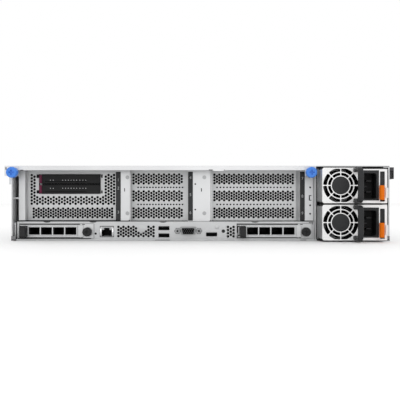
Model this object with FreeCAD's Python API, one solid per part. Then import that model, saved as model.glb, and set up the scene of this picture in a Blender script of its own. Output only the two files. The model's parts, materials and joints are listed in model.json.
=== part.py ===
import FreeCAD, Part

import math
import os

from FreeCAD import Vector

# 2U rack server, in millimetres.
# X runs to the right as seen from the rear, Y from the cable side to the drive side, Z up.
# The origin is under the middle of the whole object, on the plane of the chassis floor.

# Rack ears. The body passes between the rack's posts, so its width follows the rack's hole spacing.
EAR_HOLE_SPAN = 465.1
EAR_HOLE_INSIDE = 13.55

# Chassis
BODY_WIDTH = EAR_HOLE_SPAN - 2 * EAR_HOLE_INSIDE
BODY_HEIGHT = 86.5
CHASSIS_DEPTH = 735.0
SHEET = 1.2
THIN_SHEET = 0.8
WALL_LIP = 7.0
BEND_RADIUS = 1.1

# How far things stand out of the chassis
PSU_STAND_OUT = 24.0
BAIL_REACH = 26.0
EAR_HANDLE_REACH = 29.0
IO_PLANE_DEPTH = 10.0
PLATE_PLANE_DEPTH = 14.0
SLOT_PLANE_DEPTH = 26.0

# Clearances
SLIDE_GAP = 0.3
PIN_GAP = 0.05
SCREW_GAP = 0.15
COVER_GAP = 0.2
PANEL_GAP = 0.1

# Round features that repeat are drawn with flats: this many round a knob or bore, and round
# a small hole, pin or stud. A bend or rounded corner is drawn with BEND_STEPS flats.
BORE_SIDES = 24
KNOB_SIDES = 18
PIN_SIDES = 8
BEND_STEPS = 3

# Places along Y that everything else is set from
REAR = -(CHASSIS_DEPTH - PSU_STAND_OUT - BAIL_REACH + EAR_HANDLE_REACH) / 2
FRONT = REAR + CHASSIS_DEPTH
IO_Y = REAR + IO_PLANE_DEPTH
PLATE_Y = REAR + PLATE_PLANE_DEPTH
SLOT_Y = REAR + SLOT_PLANE_DEPTH
PSU_Y = REAR - PSU_STAND_OUT

# Places along X and Z that everything else is set from
HALF = BODY_WIDTH / 2
INNER = HALF - SHEET
COVER_Z = BODY_HEIGHT - SHEET
MID_Z = BODY_HEIGHT / 2

# Power supplies. They keep their proportions, and two of them fill the height.
PSU_WALL = 1.0
PSU_SHELF = 1.2
PSU_TOP_GAP = 0.3
PSU_HEIGHT = (COVER_Z - COVER_GAP - 2 * SHEET - PSU_SHELF - 4 * SLIDE_GAP - PSU_TOP_GAP) / 2
PSU_WIDTH = PSU_HEIGHT * 1.8325
BAY_FLANGE_GAP = 0.6
BAY_FLANGE_WIDTH = 7.0
PARTITION_GAP = 3.5
PSU_LEFT = INNER - BAY_FLANGE_WIDTH - BAY_FLANGE_GAP - PSU_WIDTH
PARTITION_X = PSU_LEFT - PARTITION_GAP

# The plain numbers in the four functions below were drawn at these sizes, and follow the real ones.
DRAWN_DEPTH = 735.0
DRAWN_HEIGHT = 86.5
DRAWN_LEFT = -217.8
DRAWN_ROOM = 351.2


def along(y):
    """A length along Y, in step with the chassis depth."""
    return y * CHASSIS_DEPTH / DRAWN_DEPTH


def up(z):
    """A height, in step with the body's height."""
    return z * BODY_HEIGHT / DRAWN_HEIGHT


def span(wide):
    """A width, in step with the room between the left wall and the wall beside the power supplies."""
    return wide * (PARTITION_X + INNER) / DRAWN_ROOM


def across(x):
    """A place along X in that room."""
    return span(x - DRAWN_LEFT) - INNER


# Input and output panel along the bottom of the rear
IO_HEIGHT = up(21.6)
IO_SHEET = 1.0
IO_FLANGE = 10.0
IO_LEFT = across(-215.0)
SOCKET_DEPTH = 20.0
LIFT_NOTCHES = (across(-180.0), across(-126.0), across(-43.8), across(64.0))
LIFT_NOTCH = (span(15.0), span(9.0), 1.8)

# Power supply length
PSU_LENGTH = along(185.0)

# Power supply fan and grille
FAN_X = PSU_HEIGHT * 0.5175
GRILLE_HUB = PSU_HEIGHT * 0.2425
GRILLE_RING = 1.4
GRILLE_MIDDLE = PSU_HEIGHT * 0.365
GRILLE_BAR = 1.4
GRILLE_RADIUS = PSU_HEIGHT * 0.49
GRILLE_SPOKES = 8
PSU_FAN_DEPTH = 26.0
PSU_FAN_SHAFT = 1.5
SHAFT_LENGTH = 3.0
BLADE_COUNT = 7
BLADE_THICK = 1.2
BLADE_PITCH = 38.0
BLADE_SPAN = 0.76
TIP_GAP = 0.6

# Power supply bail, inlet and latch
BAIL_X = PSU_HEIGHT * 0.8675
BAIL_WIDTH = 6.3
BAIL_HEIGHT = PSU_HEIGHT * 0.985
BAIL_BAR = 5.0
BAIL_BEND = 9.0
INLET_X = PSU_HEIGHT * 1.0325
INLET_WIDTH = PSU_HEIGHT * 0.57
INLET_HEIGHT = PSU_HEIGHT * 0.85
INLET_DEPTH = 24.0
INLET_RIM_LEFT = 1.1
INLET_RIM_RIGHT = 3.2
INLET_RIM_Z = 2.7
INLET_CORNER = 4.0
INLET_FLOOR = 3.0
BLADE_PIN = (8.0, 2.0, 16.0)
BLADE_PIN_PITCH = 7.0
BLADE_PIN_INSET = 3.4
EARTH_PIN_SHIFT = 3.6
LATCH_X = PSU_HEIGHT * 1.685
LATCH_STRIP = 1.2
LATCH_ROOT = 44.0
LATCH_REACH = 11.0
LATCH_TAB_WIDTH = 7.2
LATCH_TAB_THICK = 4.0
LATCH_TAB_HEIGHT = PSU_HEIGHT * 0.43
LATCH_TRAVEL = 2.0
LATCH_SLOT_TOP = PSU_HEIGHT * 0.3625

# Riser cages, seen from the rear
CAGE_TOP = COVER_Z - COVER_GAP - SHEET - SLIDE_GAP
RISER_LEFT = (across(-214.0), across(-82.6) - SLIDE_GAP)
RISER_MIDDLE = (across(-82.6), across(12.3) - SLIDE_GAP)
RISER_RIGHT = (across(12.3), PARTITION_X - SLIDE_GAP)
RISER_DEPTH = along(176.0)
SLOT_PITCH = up(20.32)
SLOT_LOW_Z = up(31.5)
SLOT_OPEN_HEIGHT = up(15.2)
SLOT_COVER_LAP = 0.9
SLOT_WALL_EDGE = 1.2
LONG_SLOT = span(98.0)
SHORT_SLOT = span(62.0)
LEFT_SLOT_X = across(-153.4)
MIDDLE_SLOT_X = across(-49.4)
RIGHT_SLOT_X = across(63.6)
STRIP_WIDTH = span(5.7)
STRIP_THICK = 0.5
STRIP_FOOT = 1.0
STRIP_LEFT_X = across(-99.6)
STRIP_MIDDLE_X = across(-14.6)
STRIP_RIGHT_X = across(117.2)
RISER_BOARD = 1.6
SOCKET_PLACE = (along(20.0), along(109.0))
SOCKET_REACH = 11.0
SOCKET_HALF = 3.8

RISER_BRIDGE_Z = (up(48.0), up(50.2))

# Vent pattern: six-sided holes on a triangular lattice, and tall slots in the slot covers
VENT_PITCH = 7.4
VENT_ACROSS = 5.8
VENT_SLOT = 5.6
VENT_SLOT_PITCH = 7.6
VENT_MARGIN = 1.0

# Rear boot drives
BAY_X = (across(-193.6), across(-117.2))
BAY_Z = (up(54.2), up(77.6))
BAY_DEPTH = along(110.0)
BOOT_SLACK = 0.1
BOOT_HEIGHT = (BAY_Z[1] - BAY_Z[0] - 3 * SLIDE_GAP - BOOT_SLACK) / 2
BOOT_DEPTH = along(100.0)
BOOT_LEVER_THICK = 7.6
BOOT_STAND_OUT = 3.0
BOOT_HINGE_INSET = 0.6

# Network cards
CARD_LEFT_X = across(-202.1)
CARD_RIGHT_X = across(53.1)
CAGE_PITCH = span(14.25)
CAGE_PORTS = 4
CAGE_WALL = 1.35
CAGE_HEIGHT = up(10.3)
CAGE_LENGTH = 50.0
CAGE_BACK = 3.0
CAGE_STAND_OUT = 1.6
CAGE_ROOF = 0.75
CARD_BOARD = 1.6
CARD_BOARD_Z = up(4.0)
CARD_LENGTH = along(112.0)
CARD_FACE_Z = (up(2.7), up(18.4))
CARD_BEFORE = span(9.6)
CARD_AFTER = span(18.6)
TAB_WIDTH = span(7.0)
TAB_REACH = 12.0
TAB_Z = (up(3.6), up(16.6))
CARD_SCREW_AFTER = span(11.75)
CARD_SCREW_Z = up(9.7)
CARD_SCREW_RADIUS = 5.2
CARD_SCREW_HEAD = 8.0
CARD_SCREW_SHANK = 1.7
CARD_SCREW_LENGTH = 9.0

# Sockets and button in the input and output panel
LAN_X = across(-109.7)
LAN_SIZE = (span(16.0), up(12.8))
LAN_Z = up(3.5)
LAN_MOUTH = (span(11.8), up(7.9))
LAN_NOTCH = (span(6.2), up(2.5))
USB_STACK_X = across(-42.8)
USB_SINGLE_X = across(13.1)
USB_LOW_Z = up(5.4)
USB_HIGH_Z = up(13.8)
USB_SINGLE_Z = up(6.6)
USB_MOUTH = (span(13.2), up(5.3))
USB_TONGUE = (span(10.6), up(1.9), 9.0)
VGA_X = across(-14.3)
VGA_Z = up(10.6)
VGA_SHELL = (span(16.6), up(8.4))
VGA_SLANT = 1.4
VGA_WALL = 0.7
VGA_REACH = 5.6
VGA_SCREWS = span(24.99)
VGA_BLOCK = (span(30.8), up(5.6), up(6.2))
VGA_POST = 2.4
VGA_POST_REACH = 4.0
BUTTON_X = across(26.9)
BUTTON_Z = up(10.4)
BUTTON_RADIUS = 1.9
BUTTON_LENGTH = 9.0
BUTTON_PROUD = 0.4
BUTTON_COLLAR = 3.0
BUTTON_TRAVEL = 1.2

# Holes and vents of the rear panel
PANEL_PIN = (across(-123.3), up(7.4), 1.25)
PANEL_VENT_Z = (up(2.4), up(18.6))
WIDE_VENTS = (across(-98.2), across(-52.4))
NARROW_VENTS = (across(30.8), across(41.2))
VENT_RIVET = (across(-69.0), up(14.6), 1.6)

# Small slots and pin holes of the riser plates
LATCH_SLOT_Z = (up(56.6), up(61.0))
LATCH_SLOT_LEFT = (across(-89.9), across(-88.9))
LATCH_SLOT_MIDDLE = (across(0.7), across(1.7))
PLATE_PIN = 0.9
MIDDLE_PINS = (across(-6.1), up(65.7), up(35.6))
RIGHT_PINS = (PARTITION_X - 4.4, up(61.8), up(40.6), up(30.7))
RIGHT_SLOT = (PARTITION_X - 5.6, PARTITION_X - 3.4, up(46.6), up(52.4))

# Covers and their thumbscrews
COVER_FLANGE = 5.3
COVER_LENGTH = along(530.0)
COVER_JOINT = 0.4
COVER_LIP = 8.0
COVER_LIP_START = 40.0
GRIP_DISH = (56.0, 20.0, 0.6)
GRIP_DISH_X = HALF / 2
GRIP_DISH_Y = along(310.0)
TAB_DROP = 11.8
LEFT_TAB = (-HALF - 7.7, -HALF + 8.2)
RIGHT_TAB = (PARTITION_X - 12.4, PARTITION_X + 0.5)
THUMB_LEFT_X = -HALF + 2.5
THUMB_RIGHT_X = PARTITION_X - 5.8
THUMB_Z = BODY_HEIGHT - 7.8
THUMB_RADIUS = 6.2
THUMB_HEAD = 9.0
THUMB_SHANK = 2.0
THUMB_LENGTH = 6.0
THUMB_BEVEL = 0.8
LANDING_OUT = 2.5
LANDING_FOOT_Z = BODY_HEIGHT - 21.5

# Rail studs and rail hook on the sides
STUD_PLACES = (along(60.0), along(330.0), along(600.0))
STUD_SHANK = 3.0
STUD_HEAD = 4.6
STUD_NECK = 2.0
STUD_CAP = 1.5
HOOK_REACH = 5.6
HOOK_SIZE = (18.0, 13.6)

# Main board, cooling and memory
BOARD_Z = 6.2
BOARD_THICK = 1.8
BOARD_DEPTH = along(430.0)
BOARD_MARGIN = 3.0
BOARD_CLEAR = 2.0
STANDOFF = 3.2
STANDOFF_X = (across(-120.0), across(20.0), across(110.0))
STANDOFF_Y = (REAR + along(140.0), REAR + along(290.0), REAR + along(416.0))
CARD_SOCKET = (span(52.0), 8.0, 7.0)
SWITCH_BLOCK = (8.0, 5.0)
SINK_SIZE = (span(78.0), along(108.0), up(62.0))
SINK_BASE = 6.0
SINK_FINS = 12
SINK_FIN = 1.6
SINK_X = HALF * 98 / 219
SINK_Y = along(250.0)
SOCKET_HEIGHT = 4.0
MODULE_SIZE = (3.4, along(133.0), up(31.0))
MODULE_PITCH = span(8.6)
MODULES_EACH_SIDE = 4

# Fans
FAN_COUNT = 4
FAN_SIZE = up(80.0)
FAN_THICK = along(38.0)
FAN_BORE = FAN_SIZE * 0.485
FAN_HUB = FAN_SIZE * 0.21875
FAN_SHAFT = 2.0
FAN_PLACE = along(470.0)
STATOR_THICK = 3.0
STRUT = 4.0

# Drive bays at the front
BAYS_PER_GROUP = 4
GROUPS = 6
SIDE_POST = 11.4
BAY_PITCH = 2 * (INNER - SIDE_POST) / (BAYS_PER_GROUP * GROUPS)
DRIVE_CAGE_DEPTH = along(138.0)
DRIVE_CAGE_SHEET = 1.0
DIVIDER = 0.8
TRAY_WIDTH = BAY_PITCH - 1.6
TRAY_HEIGHT = up(77.0)
TRAY_BACK = along(130.0)
TRAY_FACE = 6.4
LEVER_WIDTH = TRAY_WIDTH - 4.2
LEVER_HEIGHT = up(65.0)
LEVER_THICK = 6.0
LEVER_FOOT = 3.0
LEVER_ROUND = 2.7
TRAY_BEZEL = 2.4
TRAY_RIM = 5.0
TRAY_RIM_FOOT = 1.0
BACKPLANE = 2.0
CONNECTOR = (6.0, up(34.0))
CONNECTOR_Z = up(20.0)
FILLER_ROOMS = (up(7.0), up(40.0))
FILLER_ROOM = up(29.0)
FILLER_DEPTH = 24.0
POWER_X = -INNER + 5.2
POWER_Z = up(62.0)
POWER_RADIUS = 3.4
POWER_COLLAR = 4.2

# More of the rack ears
EAR_WIDTH = 22.0
EAR_PLATE = 3.0
EAR_HOLE_PITCH = up(76.2)
EAR_HOLE_RADIUS = 3.4
EAR_CORNER = 2.0
EAR_LEG = 55.0
EAR_LEG_Z = (up(12.0), up(74.0))
EAR_LEG_THICK = 1.8
GRIP_WIDTH = 9.0
GRIP_BAR = 8.0
GRIP_Z = (up(14.0), up(72.5))
GRIP_X = HALF + 10.5


def box(x0, x1, y0, y1, z0, z1):
    """A block between two opposite corners."""
    return Part.makeBox(x1 - x0, y1 - y0, z1 - z0, Vector(x0, y0, z0))


def polygon(corners):
    """A closed outline through corners in XZ. A corner (x, z, radius) is rounded in BEND_STEPS flats."""
    points = [Vector(c[0], 0, c[1]) for c in corners]
    outline = []
    for i, corner in enumerate(corners):
        here = points[i]
        if len(corner) == 2:
            outline.append(here)
            continue
        radius = corner[2]
        back = (points[i - 1] - here).normalize()
        ahead = (points[(i + 1) % len(points)] - here).normalize()
        half = math.acos(max(-1.0, min(1.0, back.dot(ahead)))) / 2
        turn = math.pi - 2 * half
        run = radius / math.tan(half)
        centre = here + (back + ahead).normalize() * (radius / math.sin(half))
        start = here + back * run - centre
        stop = here + ahead * run - centre
        for k in range(BEND_STEPS + 1):
            t = k / BEND_STEPS
            mixed = start * math.sin((1 - t) * turn) + stop * math.sin(t * turn)
            outline.append(centre + mixed * (1 / math.sin(turn)))
    return Part.makePolygon(outline + outline[:1])


def rectangle(x0, x1, z0, z1, radius=0):
    """A rectangle in the XZ plane, with rounded corners if a radius is given."""
    corners = [(x0, z0), (x1, z0), (x1, z1), (x0, z1)]
    return polygon([(*c, radius) for c in corners] if radius else corners)


def flats(x, z, radius, sides, around=False):
    """A regular outline with flat sides. It lies inside the circle of its radius, or around it."""
    reach = radius / math.cos(math.pi / sides) if around else radius
    turns = [2 * math.pi * (i + 0.5) / sides for i in range(sides)]
    return polygon([(x + reach * math.cos(a), z + reach * math.sin(a)) for a in turns])


def pin_hole(x, z, radius):
    """The outline of a small hole that clears a round pin."""
    return flats(x, z, radius, PIN_SIDES, around=True)


def circle(x, z, radius):
    """A circle in the XZ plane."""
    return Part.Wire(Part.makeCircle(radius, Vector(x, 0, z), Vector(0, 1, 0)))


def plate(outline, holes, y0, thick):
    """A flat sheet facing Y, cut to an outline, with holes in it."""
    face = Part.makeFace([outline, *holes], "Part::FaceMakerBullseye")
    face.translate(Vector(0, y0, 0))
    return face.extrude(Vector(0, thick, 0))


def side_profile(corners, x0, width):
    """A bar along X whose section is given by (y, z) or (y, z, radius) corners."""
    bar = Part.Face(polygon(corners)).extrude(Vector(0, -width, 0))
    bar.rotate(Vector(0, 0, 0), Vector(0, 0, 1), 90)
    bar.translate(Vector(x0, 0, 0))
    return bar


def flat_profile(corners, z0, thick):
    """A level sheet whose outline is given by (x, y) or (x, y, radius) corners."""
    sheet = Part.Face(polygon(corners)).extrude(Vector(0, -thick, 0))
    sheet.rotate(Vector(0, 0, 0), Vector(1, 0, 0), 90)
    sheet = sheet.mirror(Vector(0, 0, 0), Vector(0, 0, 1))
    sheet = sheet.mirror(Vector(0, 0, 0), Vector(0, 1, 0))
    sheet.translate(Vector(0, 0, z0 - sheet.BoundBox.ZMin))
    return sheet


def hexagon(x, z, across):
    """A six-sided outline with flats above and below, across from flat to flat."""
    corner = across / math.sqrt(3)
    turns = [math.radians(60 * i) for i in range(6)]
    return polygon([(x + corner * math.cos(a), z + corner * math.sin(a)) for a in turns])


def vents(x0, x1, z0, z1, keep_clear=()):
    """Six-sided vent holes filling a rectangle, but for those near a (x, z, radius) of keep_clear."""
    reach = VENT_ACROSS / math.sqrt(3)
    rows = int((z1 - z0 - VENT_ACROSS) / VENT_PITCH) + 1
    column_pitch = VENT_PITCH * (math.sqrt(3) / 2 if rows > 1 else 1)
    columns = int((x1 - x0 - 2 * reach) / column_pitch) + 1
    start_x = (x0 + x1 - (columns - 1) * column_pitch) / 2
    start_z = (z0 + z1 - (rows - 1) * VENT_PITCH) / 2
    holes = []
    for i in range(columns):
        x = start_x + i * column_pitch
        odd = i % 2 if rows > 1 else 0
        for j in range(rows - odd):
            z = start_z + (j + odd / 2) * VENT_PITCH
            if all(math.hypot(x - a, z - b) > r + reach for a, b, r in keep_clear):
                holes.append(hexagon(x, z, VENT_ACROSS))
    return holes


def vent_slots(x0, x1, z0, z1):
    """A row of tall vent slots with pointed ends, filling a rectangle."""
    half = VENT_SLOT / 2
    point = half * math.tan(math.radians(30))
    count = int((x1 - x0 - VENT_SLOT) / VENT_SLOT_PITCH) + 1
    start = (x0 + x1 - (count - 1) * VENT_SLOT_PITCH) / 2
    slots = []
    for i in range(count):
        x = start + i * VENT_SLOT_PITCH
        slots.append(polygon([
            (x - half, z0 + point), (x, z0), (x + half, z0 + point),
            (x + half, z1 - point), (x, z1), (x - half, z1 - point),
        ]))
    return slots


def join(*shapes):
    """One solid from pieces that touch, with the seams between them removed."""
    return shapes[0].multiFuse(list(shapes[1:])).removeSplitter()


def save(name, *shapes):
    """Writes one sub-part, which may be several separate solids."""
    shape = shapes[0] if len(shapes) == 1 else Part.makeCompound(list(shapes))
    shape.exportStep(f"parts/{name}.step")


# Chassis, its rear panel and the power supply cage

def chassis_tray():
    """Floor and side walls bent from one sheet, with lips for the covers and riveted rail studs."""
    top = COVER_Z - COVER_GAP
    lip = HALF - WALL_LIP
    right = [
        (HALF, 0, BEND_RADIUS), (HALF, top, BEND_RADIUS), (lip, top), (lip, top - SHEET),
        (INNER, top - SHEET), (INNER, SHEET),
    ]
    left = [(-c[0], *c[1:]) for c in reversed(right)]
    tray = plate(polygon(right + left), [], REAR, CHASSIS_DEPTH)
    tab_foot = BODY_HEIGHT - TAB_DROP
    landing = plate(
        polygon([
            (-HALF - LANDING_OUT, LANDING_FOOT_Z), (-INNER, LANDING_FOOT_Z), (-INNER, tab_foot),
            (LEFT_TAB[1], tab_foot), (LEFT_TAB[1], top - SHEET), (-HALF - LANDING_OUT, top - SHEET),
        ]),
        [pin_hole(THUMB_LEFT_X, THUMB_Z, THUMB_SHANK + SCREW_GAP)], REAR, SHEET,
    )
    shank_room = THUMB_SHANK + 3 * SCREW_GAP
    wall_cut = box(
        -HALF - 1, -INNER + 1, REAR - 1, REAR + THUMB_LENGTH,
        THUMB_Z - shank_room, THUMB_Z + shank_room,
    )
    bay_flange = box(INNER - BAY_FLANGE_WIDTH, INNER, REAR, REAR + SHEET, SHEET, top - SHEET)
    studs = [rail_stud(side, REAR + place) for side in (-1, 1) for place in STUD_PLACES]
    return join(tray.cut(wall_cut), landing, bay_flange, *studs)


def rail_stud(side, y):
    """A headed stud that hangs in the keyhole of a slide rail."""
    neck = plate(flats(0, 0, STUD_SHANK, PIN_SIDES), [], 0, STUD_NECK)
    cap = plate(flats(0, 0, STUD_HEAD, PIN_SIDES), [], STUD_NECK, STUD_CAP)
    stud = neck.fuse(cap)
    stud.rotate(Vector(0, 0, 0), Vector(0, 0, 1), -90 * side)
    stud.translate(Vector(side * HALF, y, MID_Z))
    return stud


def card_mouth(card_x):
    """The opening in the rear panel that a network card slides through."""
    return rectangle(
        card_x - CARD_BEFORE + 1.0, card_end(card_x) + 4.0,
        CARD_FACE_Z[0] + 0.4, CARD_FACE_Z[1] - 0.4,
    )


def card_end(card_x):
    """Where the row of transceiver cages of a network card ends."""
    return card_x + CAGE_PORTS * CAGE_PITCH + CAGE_WALL


def card_screw_x(card_x):
    """Where a network card's thumbscrew is."""
    return card_end(card_x) + CARD_SCREW_AFTER


def d_outline(grow):
    """The D-shaped outline of the display socket, grown all round."""
    half_w = VGA_SHELL[0] / 2 + grow
    half_h = VGA_SHELL[1] / 2 + grow
    radius = 1.6 + grow
    return polygon([
        (VGA_X - half_w + VGA_SLANT, VGA_Z - half_h, radius),
        (VGA_X + half_w - VGA_SLANT, VGA_Z - half_h, radius),
        (VGA_X + half_w, VGA_Z + half_h, radius), (VGA_X - half_w, VGA_Z + half_h, radius),
    ])


def panel_outline():
    """The rear panel's outline, with the shallow notches in its top edge that free the risers."""
    wide, narrow, deep = LIFT_NOTCH
    corners = [(IO_LEFT, SHEET), (PARTITION_X, SHEET), (PARTITION_X, IO_HEIGHT)]
    for x in sorted(LIFT_NOTCHES, reverse=True):
        corners += [
            (x + wide / 2, IO_HEIGHT), (x + narrow / 2, IO_HEIGHT - deep),
            (x - narrow / 2, IO_HEIGHT - deep), (x - wide / 2, IO_HEIGHT),
        ]
    return polygon(corners + [(IO_LEFT, IO_HEIGHT)])


def rear_io_panel():
    """The perforated panel under the risers, with an opening for each socket and card."""
    usb_w, usb_h = USB_MOUTH[0] / 2 + COVER_GAP, USB_MOUTH[1] / 2 + COVER_GAP
    holes = []
    for card_x in (CARD_LEFT_X, CARD_RIGHT_X):
        holes.append(card_mouth(card_x))
        holes.append(pin_hole(card_screw_x(card_x), CARD_SCREW_Z, CARD_SCREW_SHANK + SCREW_GAP))
    holes.append(rectangle(
        LAN_X - LAN_SIZE[0] / 2 - COVER_GAP, LAN_X + LAN_SIZE[0] / 2 + COVER_GAP,
        LAN_Z - COVER_GAP, LAN_Z + LAN_SIZE[1] + COVER_GAP,
    ))
    for x, z in ((USB_STACK_X, USB_LOW_Z), (USB_STACK_X, USB_HIGH_Z), (USB_SINGLE_X, USB_SINGLE_Z)):
        holes.append(rectangle(x - usb_w, x + usb_w, z - usb_h, z + usb_h))
    holes.append(d_outline(PANEL_GAP))
    for side in (-1, 1):
        holes.append(hexagon(VGA_X + side * VGA_SCREWS / 2, VGA_Z, 2 * (VGA_POST + PANEL_GAP)))
    holes.append(flats(BUTTON_X, BUTTON_Z, BUTTON_RADIUS + SCREW_GAP, KNOB_SIDES, around=True))
    holes.append(pin_hole(*PANEL_PIN))
    holes += vents(*WIDE_VENTS, *PANEL_VENT_Z, keep_clear=[VENT_RIVET])
    holes += vents(*NARROW_VENTS, *PANEL_VENT_Z)
    face = plate(panel_outline(), holes, IO_Y, IO_SHEET)
    foot = box(IO_LEFT, PARTITION_X, IO_Y + IO_SHEET, IO_Y + IO_FLANGE, SHEET, SHEET + IO_SHEET)
    pieces = [face, foot]
    edges = [IO_LEFT, *sorted(LIFT_NOTCHES), PARTITION_X]
    for i in range(len(edges) - 1):
        x0 = edges[i] + (LIFT_NOTCH[0] / 2 if i else 0)
        x1 = edges[i + 1] - (LIFT_NOTCH[0] / 2 if i < len(edges) - 2 else 0)
        pieces.append(box(x0, x1, IO_Y + IO_SHEET, IO_Y + IO_FLANGE, IO_HEIGHT - IO_SHEET, IO_HEIGHT))
    return join(*pieces)


def cage_depth():
    """How deep the power supply cage is, so that its back lies just behind the supplies."""
    return PSU_LENGTH - PSU_STAND_OUT + SLIDE_GAP


def psu_cage():
    """The wall beside the power supplies, the shelf between them, their board and the screw landing."""
    top = COVER_Z - COVER_GAP - SHEET
    depth = cage_depth()
    wall = box(PARTITION_X, PARTITION_X + SHEET, REAR, REAR + depth, SHEET, top)
    shelf_z = psu_z(0) + PSU_HEIGHT / 2 + SLIDE_GAP
    shelf = box(PARTITION_X + SHEET, INNER, REAR + 2 * SHEET, REAR + depth, shelf_z, shelf_z + PSU_SHELF)
    sockets = [
        rectangle(PSU_LEFT + 12, PSU_LEFT + PSU_WIDTH - 12, psu_z(row) - 8, psu_z(row) + 8) for row in (0, 1)
    ]
    back = plate(rectangle(PARTITION_X, INNER, SHEET, top), sockets, REAR + depth, SHEET)
    landing = plate(
        rectangle(RIGHT_TAB[0], PARTITION_X, BODY_HEIGHT - TAB_DROP, top),
        [pin_hole(THUMB_RIGHT_X, THUMB_Z, THUMB_SHANK + SCREW_GAP)], REAR, SHEET,
    )
    return join(wall, shelf, back, landing)


# Covers, thumbscrews and the hook

def cover_side_lips(y0, y1):
    """The lips of a cover that hang down outside the side walls."""
    lips = []
    for side in (-1, 1):
        inside, outside = side * (HALF + COVER_GAP), side * (HALF + COVER_GAP + THIN_SHEET)
        across_lip = (min(inside, outside), max(inside, outside))
        lips.append(box(*across_lip, y0, y1, BODY_HEIGHT - COVER_LIP, BODY_HEIGHT))
        lips.append(box(min(side * HALF, inside), max(side * HALF, inside), y0, y1, COVER_Z, BODY_HEIGHT))
    return lips


def top_cover():
    """The rear cover: a top sheet with side lips, a flange on its rear edge and two thumbscrew tabs."""
    y0 = REAR - PANEL_GAP
    top = box(-HALF, HALF, y0, REAR + COVER_LENGTH, COVER_Z, BODY_HEIGHT)
    sheet = join(top, *cover_side_lips(REAR + COVER_LIP_START, REAR + COVER_LENGTH))
    length, width, depth = GRIP_DISH
    for x in (-GRIP_DISH_X, GRIP_DISH_X):
        y = REAR + GRIP_DISH_Y
        radius = width / 2 - PANEL_GAP
        dish = flat_profile([
            (x - length / 2, y, radius), (x + length / 2, y, radius),
            (x + length / 2, y + width, radius), (x - length / 2, y + width, radius),
        ], BODY_HEIGHT - depth, 2 * depth)
        sheet = sheet.cut(dish)
    flange = box(LEFT_TAB[1], RIGHT_TAB[0], y0 - SHEET, y0, BODY_HEIGHT - COVER_FLANGE, BODY_HEIGHT)
    tabs = []
    for (x0, x1), screw_x in ((LEFT_TAB, THUMB_LEFT_X), (RIGHT_TAB, THUMB_RIGHT_X)):
        tabs.append(plate(
            rectangle(x0, x1, BODY_HEIGHT - TAB_DROP, BODY_HEIGHT),
            [pin_hole(screw_x, THUMB_Z, THUMB_SHANK + SCREW_GAP)], y0 - SHEET, SHEET,
        ))
    return [sheet, flange, *tabs]


def drive_cover():
    """The fixed cover over the drives."""
    y0 = REAR + COVER_LENGTH + COVER_JOINT
    top = box(-HALF, HALF, y0, FRONT, COVER_Z, BODY_HEIGHT)
    lips = cover_side_lips(y0, FRONT - EAR_LEG - 5)
    return join(top, *lips)


def thumbscrew(x, z, face_y, radius, head, shank, length):
    """A captive thumbscrew: a bevelled head with a cross slot, and its shank."""
    back = face_y - PIN_GAP
    shoulder = back - head + THUMB_BEVEL
    rim = flats(x, z, radius, KNOB_SIDES)
    nose = flats(x, z, radius - THUMB_BEVEL, KNOB_SIDES)
    rim.translate(Vector(0, shoulder, 0))
    nose.translate(Vector(0, back - head, 0))
    bevel = Part.makeLoft([nose, rim], True, True)
    knob = plate(flats(x, z, radius, KNOB_SIDES), [], shoulder, head - THUMB_BEVEL)
    reach = radius * 0.42
    slot = radius * 0.11
    front, floor = back - head - 1, back - head * 0.75
    cross = box(x - reach, x + reach, front, floor, z - slot, z + slot)
    cross = cross.fuse(box(x - slot, x + slot, front, floor, z - reach, z + reach))
    pin = plate(flats(x, z, shank, PIN_SIDES), [], back, length)
    return join(knob, bevel, pin).cut(cross)


def rear_hook():
    """The dark rail hook on the right wall, beside the top rear corner."""
    length, height = HOOK_SIZE
    top = COVER_Z - 0.4
    sheet = 1.4
    cap = 4.0
    out = HALF + HOOK_REACH
    return plate(polygon([
        (HALF, top - height), (HALF + sheet, top - height), (HALF + sheet, top - cap), (out - 1.0, top - cap),
        (out - 1.0, top - height), (out, top - height), (out, top), (HALF, top),
    ]), [], REAR + 2, length)


# Riser cages, slot covers and boot drives

def slot_z(row):
    """The height of a card slot's middle; row 0 is the lowest."""
    return SLOT_LOW_Z + row * SLOT_PITCH


def slot_window(x, width, row):
    """The opening in a riser cage through which a slot cover shows."""
    z = slot_z(row)
    return rectangle(x - width / 2, x + width / 2, z - SLOT_OPEN_HEIGHT / 2, z + SLOT_OPEN_HEIGHT / 2)


def recess_of(cage):
    """The left and right ends of a riser cage's recessed slot wall."""
    if cage is RISER_LEFT:
        return RISER_LEFT[0] + 7.6, STRIP_LEFT_X - 2.0
    if cage is RISER_MIDDLE:
        return RISER_MIDDLE[0] + THIN_SHEET, STRIP_MIDDLE_X - 2.4
    return RISER_RIGHT[0] + THIN_SHEET, STRIP_RIGHT_X - 1.6


def riser_frame(cage, holes, plate_holes):
    """A riser cage: outer plates, a recessed slot wall between them, a roof and a side wall for the board."""
    x0, x1 = cage
    r0, r1 = recess_of(cage)
    t = THIN_SHEET
    low, high = IO_HEIGHT, CAGE_TOP
    wall_low = min(low, SLOT_LOW_Z - SLOT_OPEN_HEIGHT / 2 - SLOT_WALL_EDGE)
    end = PLATE_Y + RISER_DEPTH
    pieces = [plate(rectangle(r0 - t, r1 + t, wall_low, high), holes, SLOT_Y, t)]
    pieces.append(box(r0 - t, r0, PLATE_Y, SLOT_Y, low, high))
    pieces.append(box(r1, r1 + t, PLATE_Y, SLOT_Y, low, high))
    if r0 - t - x0 > t:
        pieces.append(plate(rectangle(x0, r0, low, high), [], PLATE_Y, t))
    pieces.append(plate(rectangle(r1, x1, low, high), plate_holes, PLATE_Y, t))
    pieces.append(box(r0 - t, r1 + t, SLOT_Y, end, high - t, high))
    pieces.append(box(r1, r1 + t, SLOT_Y, end, low + 10, high))
    return join(*pieces)


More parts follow.
